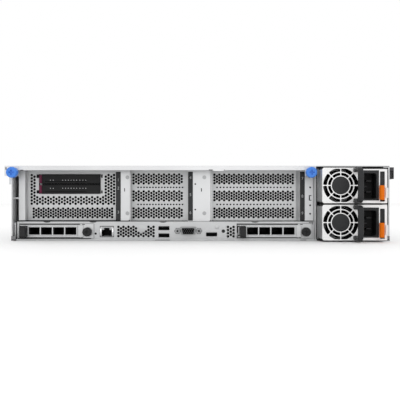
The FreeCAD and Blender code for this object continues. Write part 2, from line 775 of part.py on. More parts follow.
def riser_cage_left():
    """The left riser cage, which also holds the box of the two boot drives."""
    r0, r1 = recess_of(RISER_LEFT)
    holes = [rectangle(*BAY_X, *BAY_Z), slot_window(LEFT_SLOT_X, LONG_SLOT, 0)]
    above_slot = slot_z(0) + SLOT_OPEN_HEIGHT / 2 + 3.0
    band_top = BAY_Z[0] - 2 * THIN_SHEET
    holes += vents(r0 + 4.2, BAY_X[0] - 1.2, above_slot, CAGE_TOP - 3)
    holes += vents(BAY_X[1] + 1.5, r1 - 0.5, above_slot, CAGE_TOP - 3)
    holes += vents(BAY_X[0] + 1.0, BAY_X[1] - 1.0, band_top - VENT_ACROSS - 2.4, band_top)
    frame = riser_frame(RISER_LEFT, holes, [rectangle(*LATCH_SLOT_LEFT, *LATCH_SLOT_Z)])
    t = THIN_SHEET
    outer = rectangle(BAY_X[0] - t, BAY_X[1] + t, BAY_Z[0] - t, BAY_Z[1] + t)
    bay_box = plate(outer, [rectangle(*BAY_X, *BAY_Z)], SLOT_Y, BAY_DEPTH)
    bridge = box(-INNER, RISER_LEFT[0], PLATE_Y, PLATE_Y + t, *RISER_BRIDGE_Z)
    return join(frame, bay_box, bridge)


def riser_cage_middle():
    """The middle riser cage, with three short slots."""
    holes = [slot_window(MIDDLE_SLOT_X, SHORT_SLOT, row) for row in range(3)]
    plate_holes = [rectangle(*LATCH_SLOT_MIDDLE, *LATCH_SLOT_Z)]
    plate_holes += [pin_hole(MIDDLE_PINS[0], z, PLATE_PIN) for z in MIDDLE_PINS[1:]]
    return riser_frame(RISER_MIDDLE, holes, plate_holes)


def riser_cage_right():
    """The right riser cage, with three long slots."""
    holes = [slot_window(RIGHT_SLOT_X, LONG_SLOT, row) for row in range(3)]
    plate_holes = [pin_hole(RIGHT_PINS[0], z, PLATE_PIN) for z in RIGHT_PINS[1:]]
    plate_holes.append(rectangle(*RIGHT_SLOT))
    return riser_frame(RISER_RIGHT, holes, plate_holes)


def slot_covers():
    """Seven vented slot covers, each behind its window: one on the left, three short and three long."""
    covers = []
    places = [(LEFT_SLOT_X, LONG_SLOT, 0)]
    places += [(MIDDLE_SLOT_X, SHORT_SLOT, row) for row in range(3)]
    places += [(RIGHT_SLOT_X, LONG_SLOT, row) for row in range(3)]
    for x, width, row in places:
        z = slot_z(row)
        half_w = width / 2 + SLOT_COVER_LAP
        half_h = SLOT_OPEN_HEIGHT / 2 + SLOT_COVER_LAP
        half_vent = SLOT_OPEN_HEIGHT / 2 - VENT_MARGIN
        half_row = width / 2 - VENT_MARGIN
        slots = vent_slots(x - half_row, x + half_row, z - half_vent, z + half_vent)
        outline = rectangle(x - half_w, x + half_w, z - half_h, z + half_h)
        covers.append(plate(outline, slots, SLOT_Y + THIN_SHEET, THIN_SHEET))
    return covers


def slot_number_strips():
    """The three dark strips that carry the slot numbers."""
    return [
        box(x, x + STRIP_WIDTH, PLATE_Y - STRIP_THICK, PLATE_Y, IO_HEIGHT + STRIP_FOOT, CAGE_TOP - 3.4)
        for x in (STRIP_LEFT_X, STRIP_MIDDLE_X, STRIP_RIGHT_X)
    ]


def riser_boards():
    """The upright board of each riser, with its card sockets."""
    boards = []
    for cage, rows in ((RISER_LEFT, 1), (RISER_MIDDLE, 3), (RISER_RIGHT, 3)):
        x1 = recess_of(cage)[1]
        x0 = x1 - RISER_BOARD
        y0 = SLOT_Y + SOCKET_PLACE[0]
        y1, y2 = y0 + SOCKET_PLACE[0], y0 + SOCKET_PLACE[1]
        board = box(x0, x1, y0, PLATE_Y + RISER_DEPTH - 4, BOARD_Z + BOARD_THICK, CAGE_TOP - 6)
        sockets = [
            box(x0 - SOCKET_REACH, x0, y1, y2, slot_z(r) - SOCKET_HALF, slot_z(r) + SOCKET_HALF)
            for r in range(rows)
        ]
        boards.append(join(board, *sockets))
    return boards


def boot_z(row):
    """The bottom of a boot drive; row 0 is the lower one."""
    return BAY_Z[0] + SLIDE_GAP + row * (BOOT_HEIGHT + SLIDE_GAP)


def boot_drive(row):
    """A thin boot drive in its sled."""
    z0 = boot_z(row)
    x0, x1 = BAY_X[0] + SLIDE_GAP, BAY_X[1] - SLIDE_GAP
    y0 = SLOT_Y - BOOT_STAND_OUT + BOOT_LEVER_THICK + SLIDE_GAP
    sled = box(x0, x1, y0, y0 + BOOT_DEPTH, z0, z0 + BOOT_HEIGHT)
    top = z0 + BOOT_HEIGHT
    return sled.cut(box(x0 + 3, x1 - 3, y0 + 14, y0 + BOOT_DEPTH + 1, top - 2, top + 1))


def boot_lever(row):
    """The hinged front of a boot drive, with its coloured finger end at the left."""
    z0 = boot_z(row)
    x0, x1 = BAY_X[0] + SLIDE_GAP, BAY_X[1] - SLIDE_GAP
    y0 = SLOT_Y - BOOT_STAND_OUT
    finger = x0 + 3.2
    bar = box(finger, x1, y0, y0 + BOOT_LEVER_THICK, z0, z0 + BOOT_HEIGHT)
    groove = box(finger + 3, x1 - 16, y0 - 1, y0 + 1.2, z0 + 0.375 * BOOT_HEIGHT, z0 + 0.625 * BOOT_HEIGHT)
    grip = box(x0, finger, y0 - 1.0, y0 + BOOT_LEVER_THICK, z0 + 0.4, z0 + BOOT_HEIGHT - 0.4)
    return [bar.cut(groove), grip]


# Network cards

def card_body(card_x):
    """A network card's face, board and pull tab."""
    last = card_end(card_x)
    z0, z1 = CARD_FACE_Z
    cage_z = CARD_BOARD_Z + CARD_BOARD
    front = IO_Y - PANEL_GAP - IO_SHEET
    holes = [
        rectangle(card_x, last, cage_z, cage_z + CAGE_HEIGHT),
        pin_hole(card_screw_x(card_x), CARD_SCREW_Z, CARD_SCREW_SHANK + SCREW_GAP),
    ]
    face = plate(rectangle(card_x - CARD_BEFORE, last + CARD_AFTER, z0, z1), holes, front, IO_SHEET)
    first = card_x - CARD_BEFORE + 1.6
    board = box(first, last + 3.4, front + IO_SHEET, IO_Y + CARD_LENGTH, CARD_BOARD_Z, cage_z)
    tab = side_profile(
        [(front, TAB_Z[0]), (front, TAB_Z[1]), (front - TAB_REACH, TAB_Z[1] - 1, 1.0),
         (front - TAB_REACH, TAB_Z[0] + 1, 1.0)],
        card_x - CARD_BEFORE + 0.8, TAB_WIDTH,
    )
    return [face, board, tab]


def card_cages(card_x):
    """The row of transceiver cages on a card."""
    z0 = CARD_BOARD_Z + CARD_BOARD
    y0 = IO_Y - PANEL_GAP - IO_SHEET - CAGE_STAND_OUT
    mouths = []
    for port in range(CAGE_PORTS):
        x0 = card_x + CAGE_WALL + port * CAGE_PITCH
        x1 = x0 + CAGE_PITCH - CAGE_WALL
        mouths.append(rectangle(x0, x1, z0 + CAGE_ROOF, z0 + CAGE_HEIGHT - CAGE_ROOF))
    outline = rectangle(card_x, card_end(card_x), z0, z0 + CAGE_HEIGHT)
    tunnels = plate(outline, mouths, y0, CAGE_LENGTH - CAGE_BACK)
    back = plate(outline, [], y0 + CAGE_LENGTH - CAGE_BACK, CAGE_BACK)
    return join(tunnels, back)


def card_screw(card_x):
    """The thumbscrew that holds a card."""
    return thumbscrew(
        card_screw_x(card_x), CARD_SCREW_Z, IO_Y - PANEL_GAP - IO_SHEET, CARD_SCREW_RADIUS,
        CARD_SCREW_HEAD, CARD_SCREW_SHANK, CARD_SCREW_LENGTH,
    )


# Power supplies

def psu_z(row):
    """The height of a power supply's middle; row 0 is the lower one."""
    return SHEET + SLIDE_GAP + PSU_HEIGHT / 2 + row * (PSU_HEIGHT + PSU_SHELF + 2 * SLIDE_GAP)


def ring_slot(x, z, inner, outer, start, stop):
    """One slot of the fan grille: a piece of ring between two spokes GRILLE_BAR wide."""
    corners = []
    for radius, first, last in ((inner, start, stop), (outer, stop, start)):
        shift = math.asin(GRILLE_BAR / 2 / radius) * (1 if last > first else -1)
        for k in range(BEND_STEPS):
            angle = first + shift + (last - first - 2 * shift) * k / (BEND_STEPS - 1)
            corners.append((x + radius * math.cos(angle), z + radius * math.sin(angle)))
    return polygon(corners)


def grille(x, z):
    """The hub hole and the two rings of slots of a power supply's fan grille."""
    holes = [flats(x, z, GRILLE_HUB, KNOB_SIDES)]
    step = 2 * math.pi / GRILLE_SPOKES
    for i in range(GRILLE_SPOKES):
        holes.append(ring_slot(x, z, GRILLE_HUB + GRILLE_RING, GRILLE_MIDDLE, i * step, (i + 1) * step))
        holes.append(ring_slot(x, z, GRILLE_MIDDLE + GRILLE_BAR, GRILLE_RADIUS, i * step, (i + 1) * step))
    return holes


def psu_case(row):
    """A power supply's case: a face with a fan grille over the housing's fan, inlet and latch pockets."""
    z = psu_z(row)
    x0, x1 = PSU_LEFT, PSU_LEFT + PSU_WIDTH
    z0, z1 = z - PSU_HEIGHT / 2, z + PSU_HEIGHT / 2
    behind = PSU_Y + PSU_WALL
    inlet = (x0 + INLET_X, x0 + INLET_X + INLET_WIDTH, z - INLET_HEIGHT / 2, z + INLET_HEIGHT / 2)
    slot = (
        x0 + LATCH_X - LATCH_TRAVEL - COVER_GAP, x0 + LATCH_X + LATCH_STRIP + SLIDE_GAP,
        z - LATCH_TAB_HEIGHT - SLIDE_GAP, z + LATCH_SLOT_TOP,
    )
    outline = rectangle(x0, x1, z0, z1)
    pockets = [rectangle(*inlet), rectangle(*slot)]
    bore = flats(x0 + FAN_X, z, fan_bore(), BORE_SIDES)
    face = plate(outline, [*grille(x0 + FAN_X, z), *pockets], PSU_Y, PSU_WALL)
    housing = plate(outline, [bore, *pockets], behind, PSU_FAN_DEPTH)
    rear = box(x0, x1, behind + PSU_FAN_DEPTH, PSU_Y + PSU_LENGTH, z0, z1)
    seat_hole = pin_hole(x0 + FAN_X, z, PSU_FAN_SHAFT + PIN_GAP)
    seat = plate(seat_hole, [], behind + PSU_FAN_DEPTH, SHAFT_LENGTH + SLIDE_GAP)
    latch_pocket = box(
        slot[0], slot[1], behind + PSU_FAN_DEPTH, PSU_Y + LATCH_ROOT + SLIDE_GAP, slot[2], slot[3])
    return join(face, housing, rear.cut(seat).cut(latch_pocket))


def fan_bore():
    """The bore round a power supply's fan."""
    return GRILLE_RADIUS - 0.8


def fan_rotor(x, z, y0, depth, hub, bore, shaft):
    """A fan rotor: a hub with two flats for each pitched blade, and its shaft."""
    body = plate(flats(x, z, hub, 2 * BLADE_COUNT), [], y0, depth)
    pin = plate(flats(x, z, shaft, PIN_SIDES), [], y0 + depth, SHAFT_LENGTH)
    chord = depth * BLADE_SPAN
    swing = chord / 2 * math.sin(math.radians(BLADE_PITCH))
    clear = bore * math.cos(math.pi / BORE_SIDES) - TIP_GAP
    tip = math.sqrt(clear ** 2 - (swing + BLADE_THICK / 2) ** 2)
    blades = []
    for i in range(BLADE_COUNT):
        blade = box(hub * 0.8, tip, -chord / 2, chord / 2, -BLADE_THICK / 2, BLADE_THICK / 2)
        blade.rotate(Vector(0, 0, 0), Vector(1, 0, 0), BLADE_PITCH)
        blade.rotate(Vector(0, 0, 0), Vector(0, 1, 0), 360 / BLADE_COUNT * i)
        blade.translate(Vector(x, y0 + depth / 2, z))
        blades.append(blade)
    return join(body, pin, *blades)


def psu_rotor(row):
    """The rotor of a power supply's fan."""
    y0 = PSU_Y + PSU_WALL + 2.0
    depth = PSU_Y + PSU_WALL + PSU_FAN_DEPTH - SLIDE_GAP - y0
    return fan_rotor(PSU_LEFT + FAN_X, psu_z(row), y0, depth, GRILLE_HUB - 0.3, fan_bore(), PSU_FAN_SHAFT)


def psu_bail(row):
    """The fixed carrying bail on a power supply's face."""
    z = psu_z(row)
    z0, z1 = z - BAIL_HEIGHT / 2, z + BAIL_HEIGHT / 2
    tip = PSU_Y - BAIL_REACH
    inner_bend = BAIL_BEND - BAIL_BAR
    return side_profile([
        (PSU_Y, z0), (PSU_Y, z0 + BAIL_BAR), (tip + BAIL_BAR, z0 + BAIL_BAR, inner_bend),
        (tip + BAIL_BAR, z1 - BAIL_BAR, inner_bend), (PSU_Y, z1 - BAIL_BAR), (PSU_Y, z1),
        (tip, z1, BAIL_BEND), (tip, z0, BAIL_BEND),
    ], PSU_LEFT + BAIL_X, BAIL_WIDTH)


def psu_inlet(row):
    """The mains inlet: a deep mouth with three blade pins."""
    z = psu_z(row)
    x0 = PSU_LEFT + INLET_X
    x1 = x0 + INLET_WIDTH
    half = INLET_HEIGHT / 2
    left, right = x0 + INLET_RIM_LEFT, x1 - INLET_RIM_RIGHT
    low, high = z - half + INLET_RIM_Z, z + half - INLET_RIM_Z
    mouth = polygon([
        (left, low + INLET_CORNER), (left + INLET_CORNER, low), (right, low), (right, high),
        (left + INLET_CORNER, high), (left, high - INLET_CORNER),
    ])
    outline = rectangle(x0, x1, z - half, z + half)
    back = PSU_Y + INLET_DEPTH - INLET_FLOOR
    frame = plate(outline, [mouth], PSU_Y, INLET_DEPTH - INLET_FLOOR)
    floor = plate(outline, [], back, INLET_FLOOR)
    wide, thick, long = BLADE_PIN
    pins = []
    for step in (-1, 0, 1):
        x = right - BLADE_PIN_INSET - (0 if step else EARTH_PIN_SHIFT)
        pin_z = z + step * BLADE_PIN_PITCH
        pins.append(box(x - wide, x, back - long, back, pin_z - thick / 2, pin_z + thick / 2))
    return join(frame, floor, *pins)


def psu_latch(row):
    """The sprung release latch: a strip in the case with a finger tab outside."""
    z = psu_z(row)
    x0 = PSU_LEFT + LATCH_X
    x1 = x0 + LATCH_STRIP
    z0, z1 = z - LATCH_TAB_HEIGHT, z
    tip = PSU_Y - LATCH_REACH
    outline = flat_profile([
        (x1 - LATCH_TAB_WIDTH, tip, 1.8), (x1, tip, 1.8), (x1, PSU_Y + LATCH_ROOT),
        (x0, PSU_Y + LATCH_ROOT), (x0, tip + LATCH_TAB_THICK), (x1 - LATCH_TAB_WIDTH, tip + LATCH_TAB_THICK),
    ], z0, z1 - z0)
    return outline


# Main board and its sockets

def mainboard():
    """The main board on six-sided standoffs, with bays cut out for the network cards."""
    edge = IO_Y + SOCKET_DEPTH
    notch = REAR + cage_depth() + SHEET + BOARD_CLEAR
    left, right = -INNER + BOARD_MARGIN, INNER - BOARD_MARGIN
    inner_right = PARTITION_X - BOARD_MARGIN
    top = BOARD_Z + BOARD_THICK
    board = flat_profile([
        (left, edge), (inner_right, edge), (inner_right, notch), (right, notch),
        (right, REAR + BOARD_DEPTH), (left, REAR + BOARD_DEPTH),
    ], BOARD_Z, BOARD_THICK)
    pieces = []
    wide, deep, high = CARD_SOCKET
    for card_x in (CARD_LEFT_X, CARD_RIGHT_X):
        card_back = IO_Y + CARD_LENGTH
        board = board.cut(box(
            card_x - CARD_BEFORE - 10, card_end(card_x) + 4.6, REAR, card_back + SLIDE_GAP, 0, top + 1,
        ))
        pieces.append(box(
            card_x, card_x + wide, card_back + SLIDE_GAP, card_back + SLIDE_GAP + deep, BOARD_Z, BOARD_Z + high,
        ))
    switch_w, switch_h = SWITCH_BLOCK
    pieces.append(box(
        BUTTON_X - switch_w / 2, BUTTON_X + switch_w / 2, IO_Y + BUTTON_LENGTH + BUTTON_TRAVEL + SLIDE_GAP,
        edge + 3, BOARD_Z, BUTTON_Z + switch_h / 2))
    for x in STANDOFF_X:
        for y in STANDOFF_Y:
            pieces.append(flat_profile([
                (x + STANDOFF * math.cos(math.radians(60 * i)), y + STANDOFF * math.sin(math.radians(60 * i)))
                for i in range(6)
            ], SHEET, BOARD_Z - SHEET))
    for side in (-1, 1):
        x0 = side * SINK_X - SINK_SIZE[0] / 2
        pieces.append(box(
            x0, x0 + SINK_SIZE[0], REAR + SINK_Y, REAR + SINK_Y + SINK_SIZE[1], top, top + SOCKET_HEIGHT))
    return join(board, *pieces)


def network_port():
    """The management network socket, between the rear panel and the board's edge."""
    wide, high = LAN_SIZE
    front = IO_Y - 0.5
    floor = 4.0
    z0 = LAN_Z + 0.9
    mouth_w, mouth_h = LAN_MOUTH
    notch_w, notch_h = LAN_NOTCH
    mouth = polygon([
        (LAN_X - mouth_w / 2, z0), (LAN_X + mouth_w / 2, z0), (LAN_X + mouth_w / 2, z0 + mouth_h),
        (LAN_X + notch_w / 2, z0 + mouth_h), (LAN_X + notch_w / 2, z0 + mouth_h + notch_h),
        (LAN_X - notch_w / 2, z0 + mouth_h + notch_h), (LAN_X - notch_w / 2, z0 + mouth_h),
        (LAN_X - mouth_w / 2, z0 + mouth_h),
    ])
    outline = rectangle(LAN_X - wide / 2, LAN_X + wide / 2, LAN_Z, LAN_Z + high)
    back = IO_Y + SOCKET_DEPTH
    return join(plate(outline, [mouth], front, back - floor - front), plate(outline, [], back - floor, floor))


def usb_socket(x, heights):
    """A block of stacked sockets, each with its tongue, between the rear panel and the board's edge."""
    mouth_w, mouth_h = USB_MOUTH
    tongue_w, tongue_h, tongue_l = USB_TONGUE
    wall = 0.4
    floor = 5.0
    front, back = IO_Y + IO_SHEET, IO_Y + SOCKET_DEPTH
    half_w, half_h = mouth_w / 2 + wall, mouth_h / 2 + wall
    in_w, in_h = mouth_w / 2 - wall, mouth_h / 2 - wall
    outline = rectangle(x - half_w, x + half_w, heights[0] - half_h, heights[-1] + half_h)
    mouths = [rectangle(x - in_w, x + in_w, z - in_h, z + in_h) for z in heights]
    inner = back - floor
    tongues = [
        box(x - tongue_w / 2, x + tongue_w / 2, inner - tongue_l, inner, z - tongue_h / 2, z + tongue_h / 2)
        for z in heights
    ]
    return join(plate(outline, mouths, front, inner - front), plate(outline, [], inner, floor), *tongues)


def display_port():
    """The display socket: a D-shaped shell, its insert and two six-sided screw posts."""
    wide, below, above = VGA_BLOCK
    block = box(
        VGA_X - wide / 2, VGA_X + wide / 2, IO_Y + IO_SHEET, IO_Y + SOCKET_DEPTH, VGA_Z - below, VGA_Z + above,
    )
    shell = plate(d_outline(0), [d_outline(-VGA_WALL)], IO_Y - VGA_REACH, VGA_REACH + IO_SHEET)
    insert = plate(d_outline(-VGA_WALL), [], IO_Y - VGA_REACH + 1.2, VGA_REACH + IO_SHEET - 1.2)
    posts = [
        plate(hexagon(VGA_X + side * VGA_SCREWS / 2, VGA_Z, VGA_POST * 2), [],
              IO_Y - VGA_POST_REACH, VGA_POST_REACH + IO_SHEET)
        for side in (-1, 1)
    ]
    return join(block, shell, insert, *posts)


def push_button(x, z, face_y, radius, collar, inward):
    """A round push button with a collar behind its panel. inward is the direction of its travel along Y."""
    front = face_y - inward * BUTTON_PROUD
    back = face_y + inward * BUTTON_LENGTH
    stem = plate(flats(x, z, radius, KNOB_SIDES), [], min(front, back), abs(back - front))
    near = face_y + inward * (IO_SHEET + COVER_GAP)
    far = near + inward * 1.2
    return join(stem, plate(flats(x, z, collar, PIN_SIDES), [], min(near, far), abs(far - near)))


# Cooling and memory

def heatsinks():
    """Two finned heatsinks, one on each processor."""
    wide, long, high = SINK_SIZE
    z0 = BOARD_Z + BOARD_THICK + SOCKET_HEIGHT
    y0 = REAR + SINK_Y
    step = (wide - SINK_FIN) / (SINK_FINS - 1)
    sinks = []
    for side in (-1, 1):
        x0 = side * SINK_X - wide / 2
        comb = [(x0, z0), (x0 + wide, z0)]
        for i in reversed(range(SINK_FINS)):
            x = x0 + i * step
            comb += [(x + SINK_FIN, z0 + SINK_BASE), (x + SINK_FIN, z0 + high)]
            comb += [(x, z0 + high), (x, z0 + SINK_BASE)]
        comb = [c for i, c in enumerate(comb) if i not in (2, len(comb) - 1)]
        sinks.append(plate(polygon(comb), [], y0, long))
    return sinks


def memory_modules():
    """Rows of memory modules on each side of each heatsink."""
    thick, long, high = MODULE_SIZE
    z0 = BOARD_Z + BOARD_THICK
    y0 = REAR + SINK_Y - (long - SINK_SIZE[1]) / 2
    modules = []
    for side in (-1, 1):
        for hand in (-1, 1):
            for i in range(MODULES_EACH_SIDE):
                x = side * SINK_X + hand * (SINK_SIZE[0] / 2 + MODULE_PITCH * (i + 0.9))
                modules.append(box(x - thick / 2, x + thick / 2, y0, y0 + long, z0, z0 + high))
    return modules


def fan_x(index):
    """The middle of a chassis fan."""
    return 2 * INNER / FAN_COUNT * (index + 0.5) - INNER


def fan_z():
    """The height of the chassis fans' axis."""
    return SHEET + FAN_SIZE / 2


def fan_frames():
    """The four fan frames, each with a motor seat on struts."""
    frames = []
    y0 = REAR + FAN_PLACE
    half = FAN_SIZE / 2
    seat = FAN_HUB * 0.7
    z = fan_z()
    for i in range(FAN_COUNT):
        x = fan_x(i)
        outline = rectangle(x - half, x + half, z - half, z + half)
        ring = plate(outline, [flats(x, z, FAN_BORE, BORE_SIDES)], y0, FAN_THICK)
        strut = box(x - FAN_BORE, x + FAN_BORE, y0, y0 + STATOR_THICK, z - STRUT / 2, z + STRUT / 2)
        motor = box(x - seat, x + seat, y0, y0 + STATOR_THICK, z - seat, z + seat)
        hole = plate(pin_hole(x, z, FAN_SHAFT + PIN_GAP), [], y0, STATOR_THICK)
        frames.append(join(ring, strut, motor).cut(hole))
    return frames


def chassis_rotor(index):
    """The rotor of one chassis fan. Its shaft points to the rear, into the motor seat."""
    y0 = REAR + FAN_PLACE + STATOR_THICK + SLIDE_GAP
    depth = FAN_THICK - STATOR_THICK - SLIDE_GAP - 2
    rotor = fan_rotor(0, 0, 0, depth, FAN_HUB, FAN_BORE, FAN_SHAFT)
    rotor.rotate(Vector(0, 0, 0), Vector(0, 0, 1), 180)
    rotor.translate(Vector(fan_x(index), y0 + depth, fan_z()))
    return rotor


# Drives at the front

def cage_width():
    """The inside width of the drive cage."""
    return BAY_PITCH * BAYS_PER_GROUP * GROUPS


def group_x(group):
    """The left edge of a group of drive bays."""
    return group * BAY_PITCH * BAYS_PER_GROUP - cage_width() / 2


def drive_cage():
    """The cage round the drive bays, with a divider between groups and a post at each side."""
    x0, x1 = -cage_width() / 2, cage_width() / 2
    t = DRIVE_CAGE_SHEET
    z0, z1 = SHEET, COVER_Z - SHEET - 2 * COVER_GAP
    y0 = FRONT - DRIVE_CAGE_DEPTH
    edges = [x0] + [group_x(group) for group in range(1, GROUPS)] + [x1]
    rooms = [
        rectangle(a + (DIVIDER / 2 if a > x0 else 0), b - (DIVIDER / 2 if b < x1 else 0), z0 + t, z1 - t)
        for a, b in zip(edges, edges[1:])
    ]
    pieces = [plate(rectangle(x0 - t, x1 + t, z0, z1), rooms, y0, DRIVE_CAGE_DEPTH)]
    for side in (-1, 1):
        near, far = side * (x1 + t), side * INNER
        button_hole = flats(POWER_X, POWER_Z, POWER_RADIUS + SCREW_GAP, KNOB_SIDES, around=True)
        hole = [button_hole] if side < 0 else []
        outline = rectangle(min(near, far), max(near, far), z0, z1)
        pieces.append(plate(outline, hole, FRONT - IO_SHEET, IO_SHEET))
    return join(*pieces)


def drive_backplane():
    """The board behind the drives, with one connector for each fitted drive."""
    y1 = FRONT - DRIVE_CAGE_DEPTH
    half = cage_width() / 2 - 2
    board = box(-half, half, y1 - BACKPLANE, y1, SHEET, tray_z0() + TRAY_HEIGHT - 1.5)
    wide, high = CONNECTOR
    y_end = FRONT - TRAY_BACK - SLIDE_GAP
    sockets = [
        box(tray_x(i) - wide / 2, tray_x(i) + wide / 2, y1, y_end, CONNECTOR_Z, CONNECTOR_Z + high)
        for i in range(BAYS_PER_GROUP)
    ]
    return join(board, *sockets)


def tray_x(index):
    """The middle of a fitted drive's bay."""
    return group_x(0) + BAY_PITCH * (index + 0.5)


def tray_z0():
    """The bottom of the drive trays."""
    return SHEET + DRIVE_CAGE_SHEET + SLIDE_GAP


def drive_tray(index):
    """A drive in its tray, with a bezel and a rim round the lever."""
    x = tray_x(index)
    z0 = tray_z0()
    half = TRAY_WIDTH / 2
    face = FRONT - TRAY_FACE
    rim_y = face + TRAY_BEZEL
    lever_half = LEVER_WIDTH / 2 + SLIDE_GAP
    lever_top = z0 + LEVER_FOOT + LEVER_HEIGHT
    sled = box(x - half + 0.6, x + half - 0.6, FRONT - TRAY_BACK, face, z0, z0 + TRAY_HEIGHT)
    bezel = box(x - half, x + half, face, rim_y, z0, z0 + TRAY_HEIGHT)
    outline = rectangle(x - half, x + half, z0, z0 + TRAY_HEIGHT)
    room = rectangle(x - lever_half, x + lever_half, z0 + TRAY_RIM_FOOT, lever_top + 3 * SLIDE_GAP)
    rim = plate(outline, [room], rim_y, TRAY_RIM)
    return join(sled, bezel, rim)


def drive_lever(index):
    """The pull lever of a drive, rounded at its hinged foot."""
    z0 = tray_z0() + LEVER_FOOT
    z1 = z0 + LEVER_HEIGHT
    y0 = FRONT - TRAY_FACE + TRAY_BEZEL + SLIDE_GAP
    y1 = y0 + LEVER_THICK
    x0 = tray_x(index) - LEVER_WIDTH / 2
    corners = [(y0, z0, LEVER_ROUND), (y0, z1), (y1 - 1.5, z1), (y1, z1 - 3), (y1, z0, 1.0)]
    bar = side_profile(corners, x0, LEVER_WIDTH)
    window = box(x0 + 2, x0 + LEVER_WIDTH - 2, y0 - 1, y1 + 1, z0 + 12, z1 - 16)
    return bar.cut(window)


def drive_fillers():
    """The vented blanks that close each empty group of bays."""
    fillers = []
    width = BAY_PITCH * BAYS_PER_GROUP - 2 * SLIDE_GAP - DIVIDER
    z0 = tray_z0()
    z1 = z0 + TRAY_HEIGHT
    wall = 1.2
    for group in range(1, GROUPS):
        x0 = group_x(group) + DIVIDER / 2 + SLIDE_GAP
        if group == GROUPS - 1:
            width = cage_width() / 2 - SLIDE_GAP - x0
        room = rectangle(x0 + wall, x0 + width - wall, z0 + wall, z1 - wall)
        rim = plate(rectangle(x0, x0 + width, z0, z1), [room], FRONT - FILLER_DEPTH, FILLER_DEPTH - 3.2)
        pitch = (width - 2 * wall) / BAYS_PER_GROUP
        rooms = [
            rectangle(a + 2, a + pitch - 2, z0 + low, z0 + low + FILLER_ROOM)
            for a in (x0 + wall + i * pitch for i in range(BAYS_PER_GROUP))
            for low in FILLER_ROOMS
        ]
        fillers.append(join(rim, plate(rectangle(x0, x0 + width, z0, z1), rooms, FRONT - 3.2, 1.6)))
    return fillers


def ear(side):
    """A rack ear: a flange with two rack holes, a leg on the side wall and a pull grip."""
    x_in, x_out = HALF + COVER_GAP, HALF + EAR_WIDTH
    corners = [(x_in, 0), (x_out, 0, EAR_CORNER), (x_out, BODY_HEIGHT, EAR_CORNER), (x_in, BODY_HEIGHT)]
    outline = polygon(corners)
    holes = [circle(EAR_HOLE_SPAN / 2, MID_Z + s * EAR_HOLE_PITCH / 2, EAR_HOLE_RADIUS) for s in (-1, 1)]
    flange = plate(outline, holes, FRONT - EAR_PLATE, EAR_PLATE)
    leg = box(HALF, HALF + EAR_LEG_THICK, FRONT - EAR_LEG, FRONT, *EAR_LEG_Z)
    z0, z1 = GRIP_Z
    tip = FRONT + EAR_HANDLE_REACH
    slope = 4.0
    inner = tip - GRIP_BAR
    grip = side_profile([
        (FRONT, z0), (FRONT, z0 + GRIP_BAR), (inner, z0 + GRIP_BAR + slope, 3.0),
        (inner, z1 - GRIP_BAR - slope, 3.0), (FRONT, z1 - GRIP_BAR), (FRONT, z1),
        (tip, z1 - slope, 6.0), (tip, z0 + slope, 6.0),
    ], GRIP_X - GRIP_WIDTH / 2, GRIP_WIDTH)
    whole = join(flange, leg, grip)
    return whole if side > 0 else whole.mirror(Vector(0, 0, 0), Vector(1, 0, 0))


def main():
    os.makedirs("parts", exist_ok=True)
    save("chassis_tray", chassis_tray())
    save("rear_io_panel", rear_io_panel())
    save("psu_cage", psu_cage())
    save("top_cover", *top_cover())
    save("drive_cover", drive_cover())
    cover_face = REAR - PANEL_GAP - SHEET
    for name, x in (("left", THUMB_LEFT_X), ("right", THUMB_RIGHT_X)):
        save(f"thumbscrew_{name}", thumbscrew(
            x, THUMB_Z, cover_face, THUMB_RADIUS, THUMB_HEAD, THUMB_SHANK, THUMB_LENGTH))
    save("rear_hook", rear_hook())
    save("riser_cage_left", riser_cage_left())
    save("riser_cage_middle", riser_cage_middle())
    save("riser_cage_right", riser_cage_right())
    save("riser_boards", *riser_boards())
    save("slot_covers", *slot_covers())
    save("slot_number_strips", *slot_number_strips())
    for row, name in enumerate(("lower", "upper")):
        save(f"boot_drive_{name}", boot_drive(row))
        save(f"boot_lever_{name}", *boot_lever(row))
        save(f"psu_{name}_case", psu_case(row))
        save(f"psu_{name}_rotor", psu_rotor(row))
        save(f"psu_{name}_bail", psu_bail(row))
        save(f"psu_{name}_inlet", psu_inlet(row))
        save(f"psu_{name}_latch", psu_latch(row))
    for name, card_x in (("left", CARD_LEFT_X), ("right", CARD_RIGHT_X)):
        save(f"network_card_{name}", *card_body(card_x))
        save(f"network_cages_{name}", card_cages(card_x))
        save(f"network_screw_{name}", card_screw(card_x))
    save("mainboard", mainboard())
    save("network_port", network_port())
    usb_pair = usb_socket(USB_STACK_X, [USB_LOW_Z, USB_HIGH_Z])
    save("usb_ports", usb_pair, usb_socket(USB_SINGLE_X, [USB_SINGLE_Z]))
    save("display_port", display_port())
    save("reset_button", push_button(BUTTON_X, BUTTON_Z, IO_Y, BUTTON_RADIUS, BUTTON_COLLAR, 1))
    save("heatsinks", *heatsinks())
    save("memory_modules", *memory_modules())
    save("fan_frames", *fan_frames())
    for i in range(FAN_COUNT):
        save(f"fan_rotor_{i + 1}", chassis_rotor(i))
    save("drive_cage", drive_cage())
    save("drive_backplane", drive_backplane())
    save("drive_fillers", *drive_fillers())
    for i in range(BAYS_PER_GROUP):
        save(f"drive_tray_{i + 1}", drive_tray(i))
        save(f"drive_lever_{i + 1}", drive_lever(i))
    save("power_button", push_button(POWER_X, POWER_Z, FRONT, POWER_RADIUS, POWER_COLLAR, -1))
    save("rack_ear_left", ear(-1))
    save("rack_ear_right", ear(1))


main()
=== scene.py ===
# %% [markdown]
# # A 2U rack server, seen from its cable side
# The metal body, its moving parts and its true size come from a CAD model, which is loaded here as a fixed frame.
# Everything below dresses that frame: it gives each part its finish, and it swaps the plain CAD shapes that the
# eye rests on for finer ones. Places are written in millimetres and turned into metres once, in `make_piece`.

import json
import math

import bpy
import numpy as np
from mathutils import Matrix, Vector, geometry


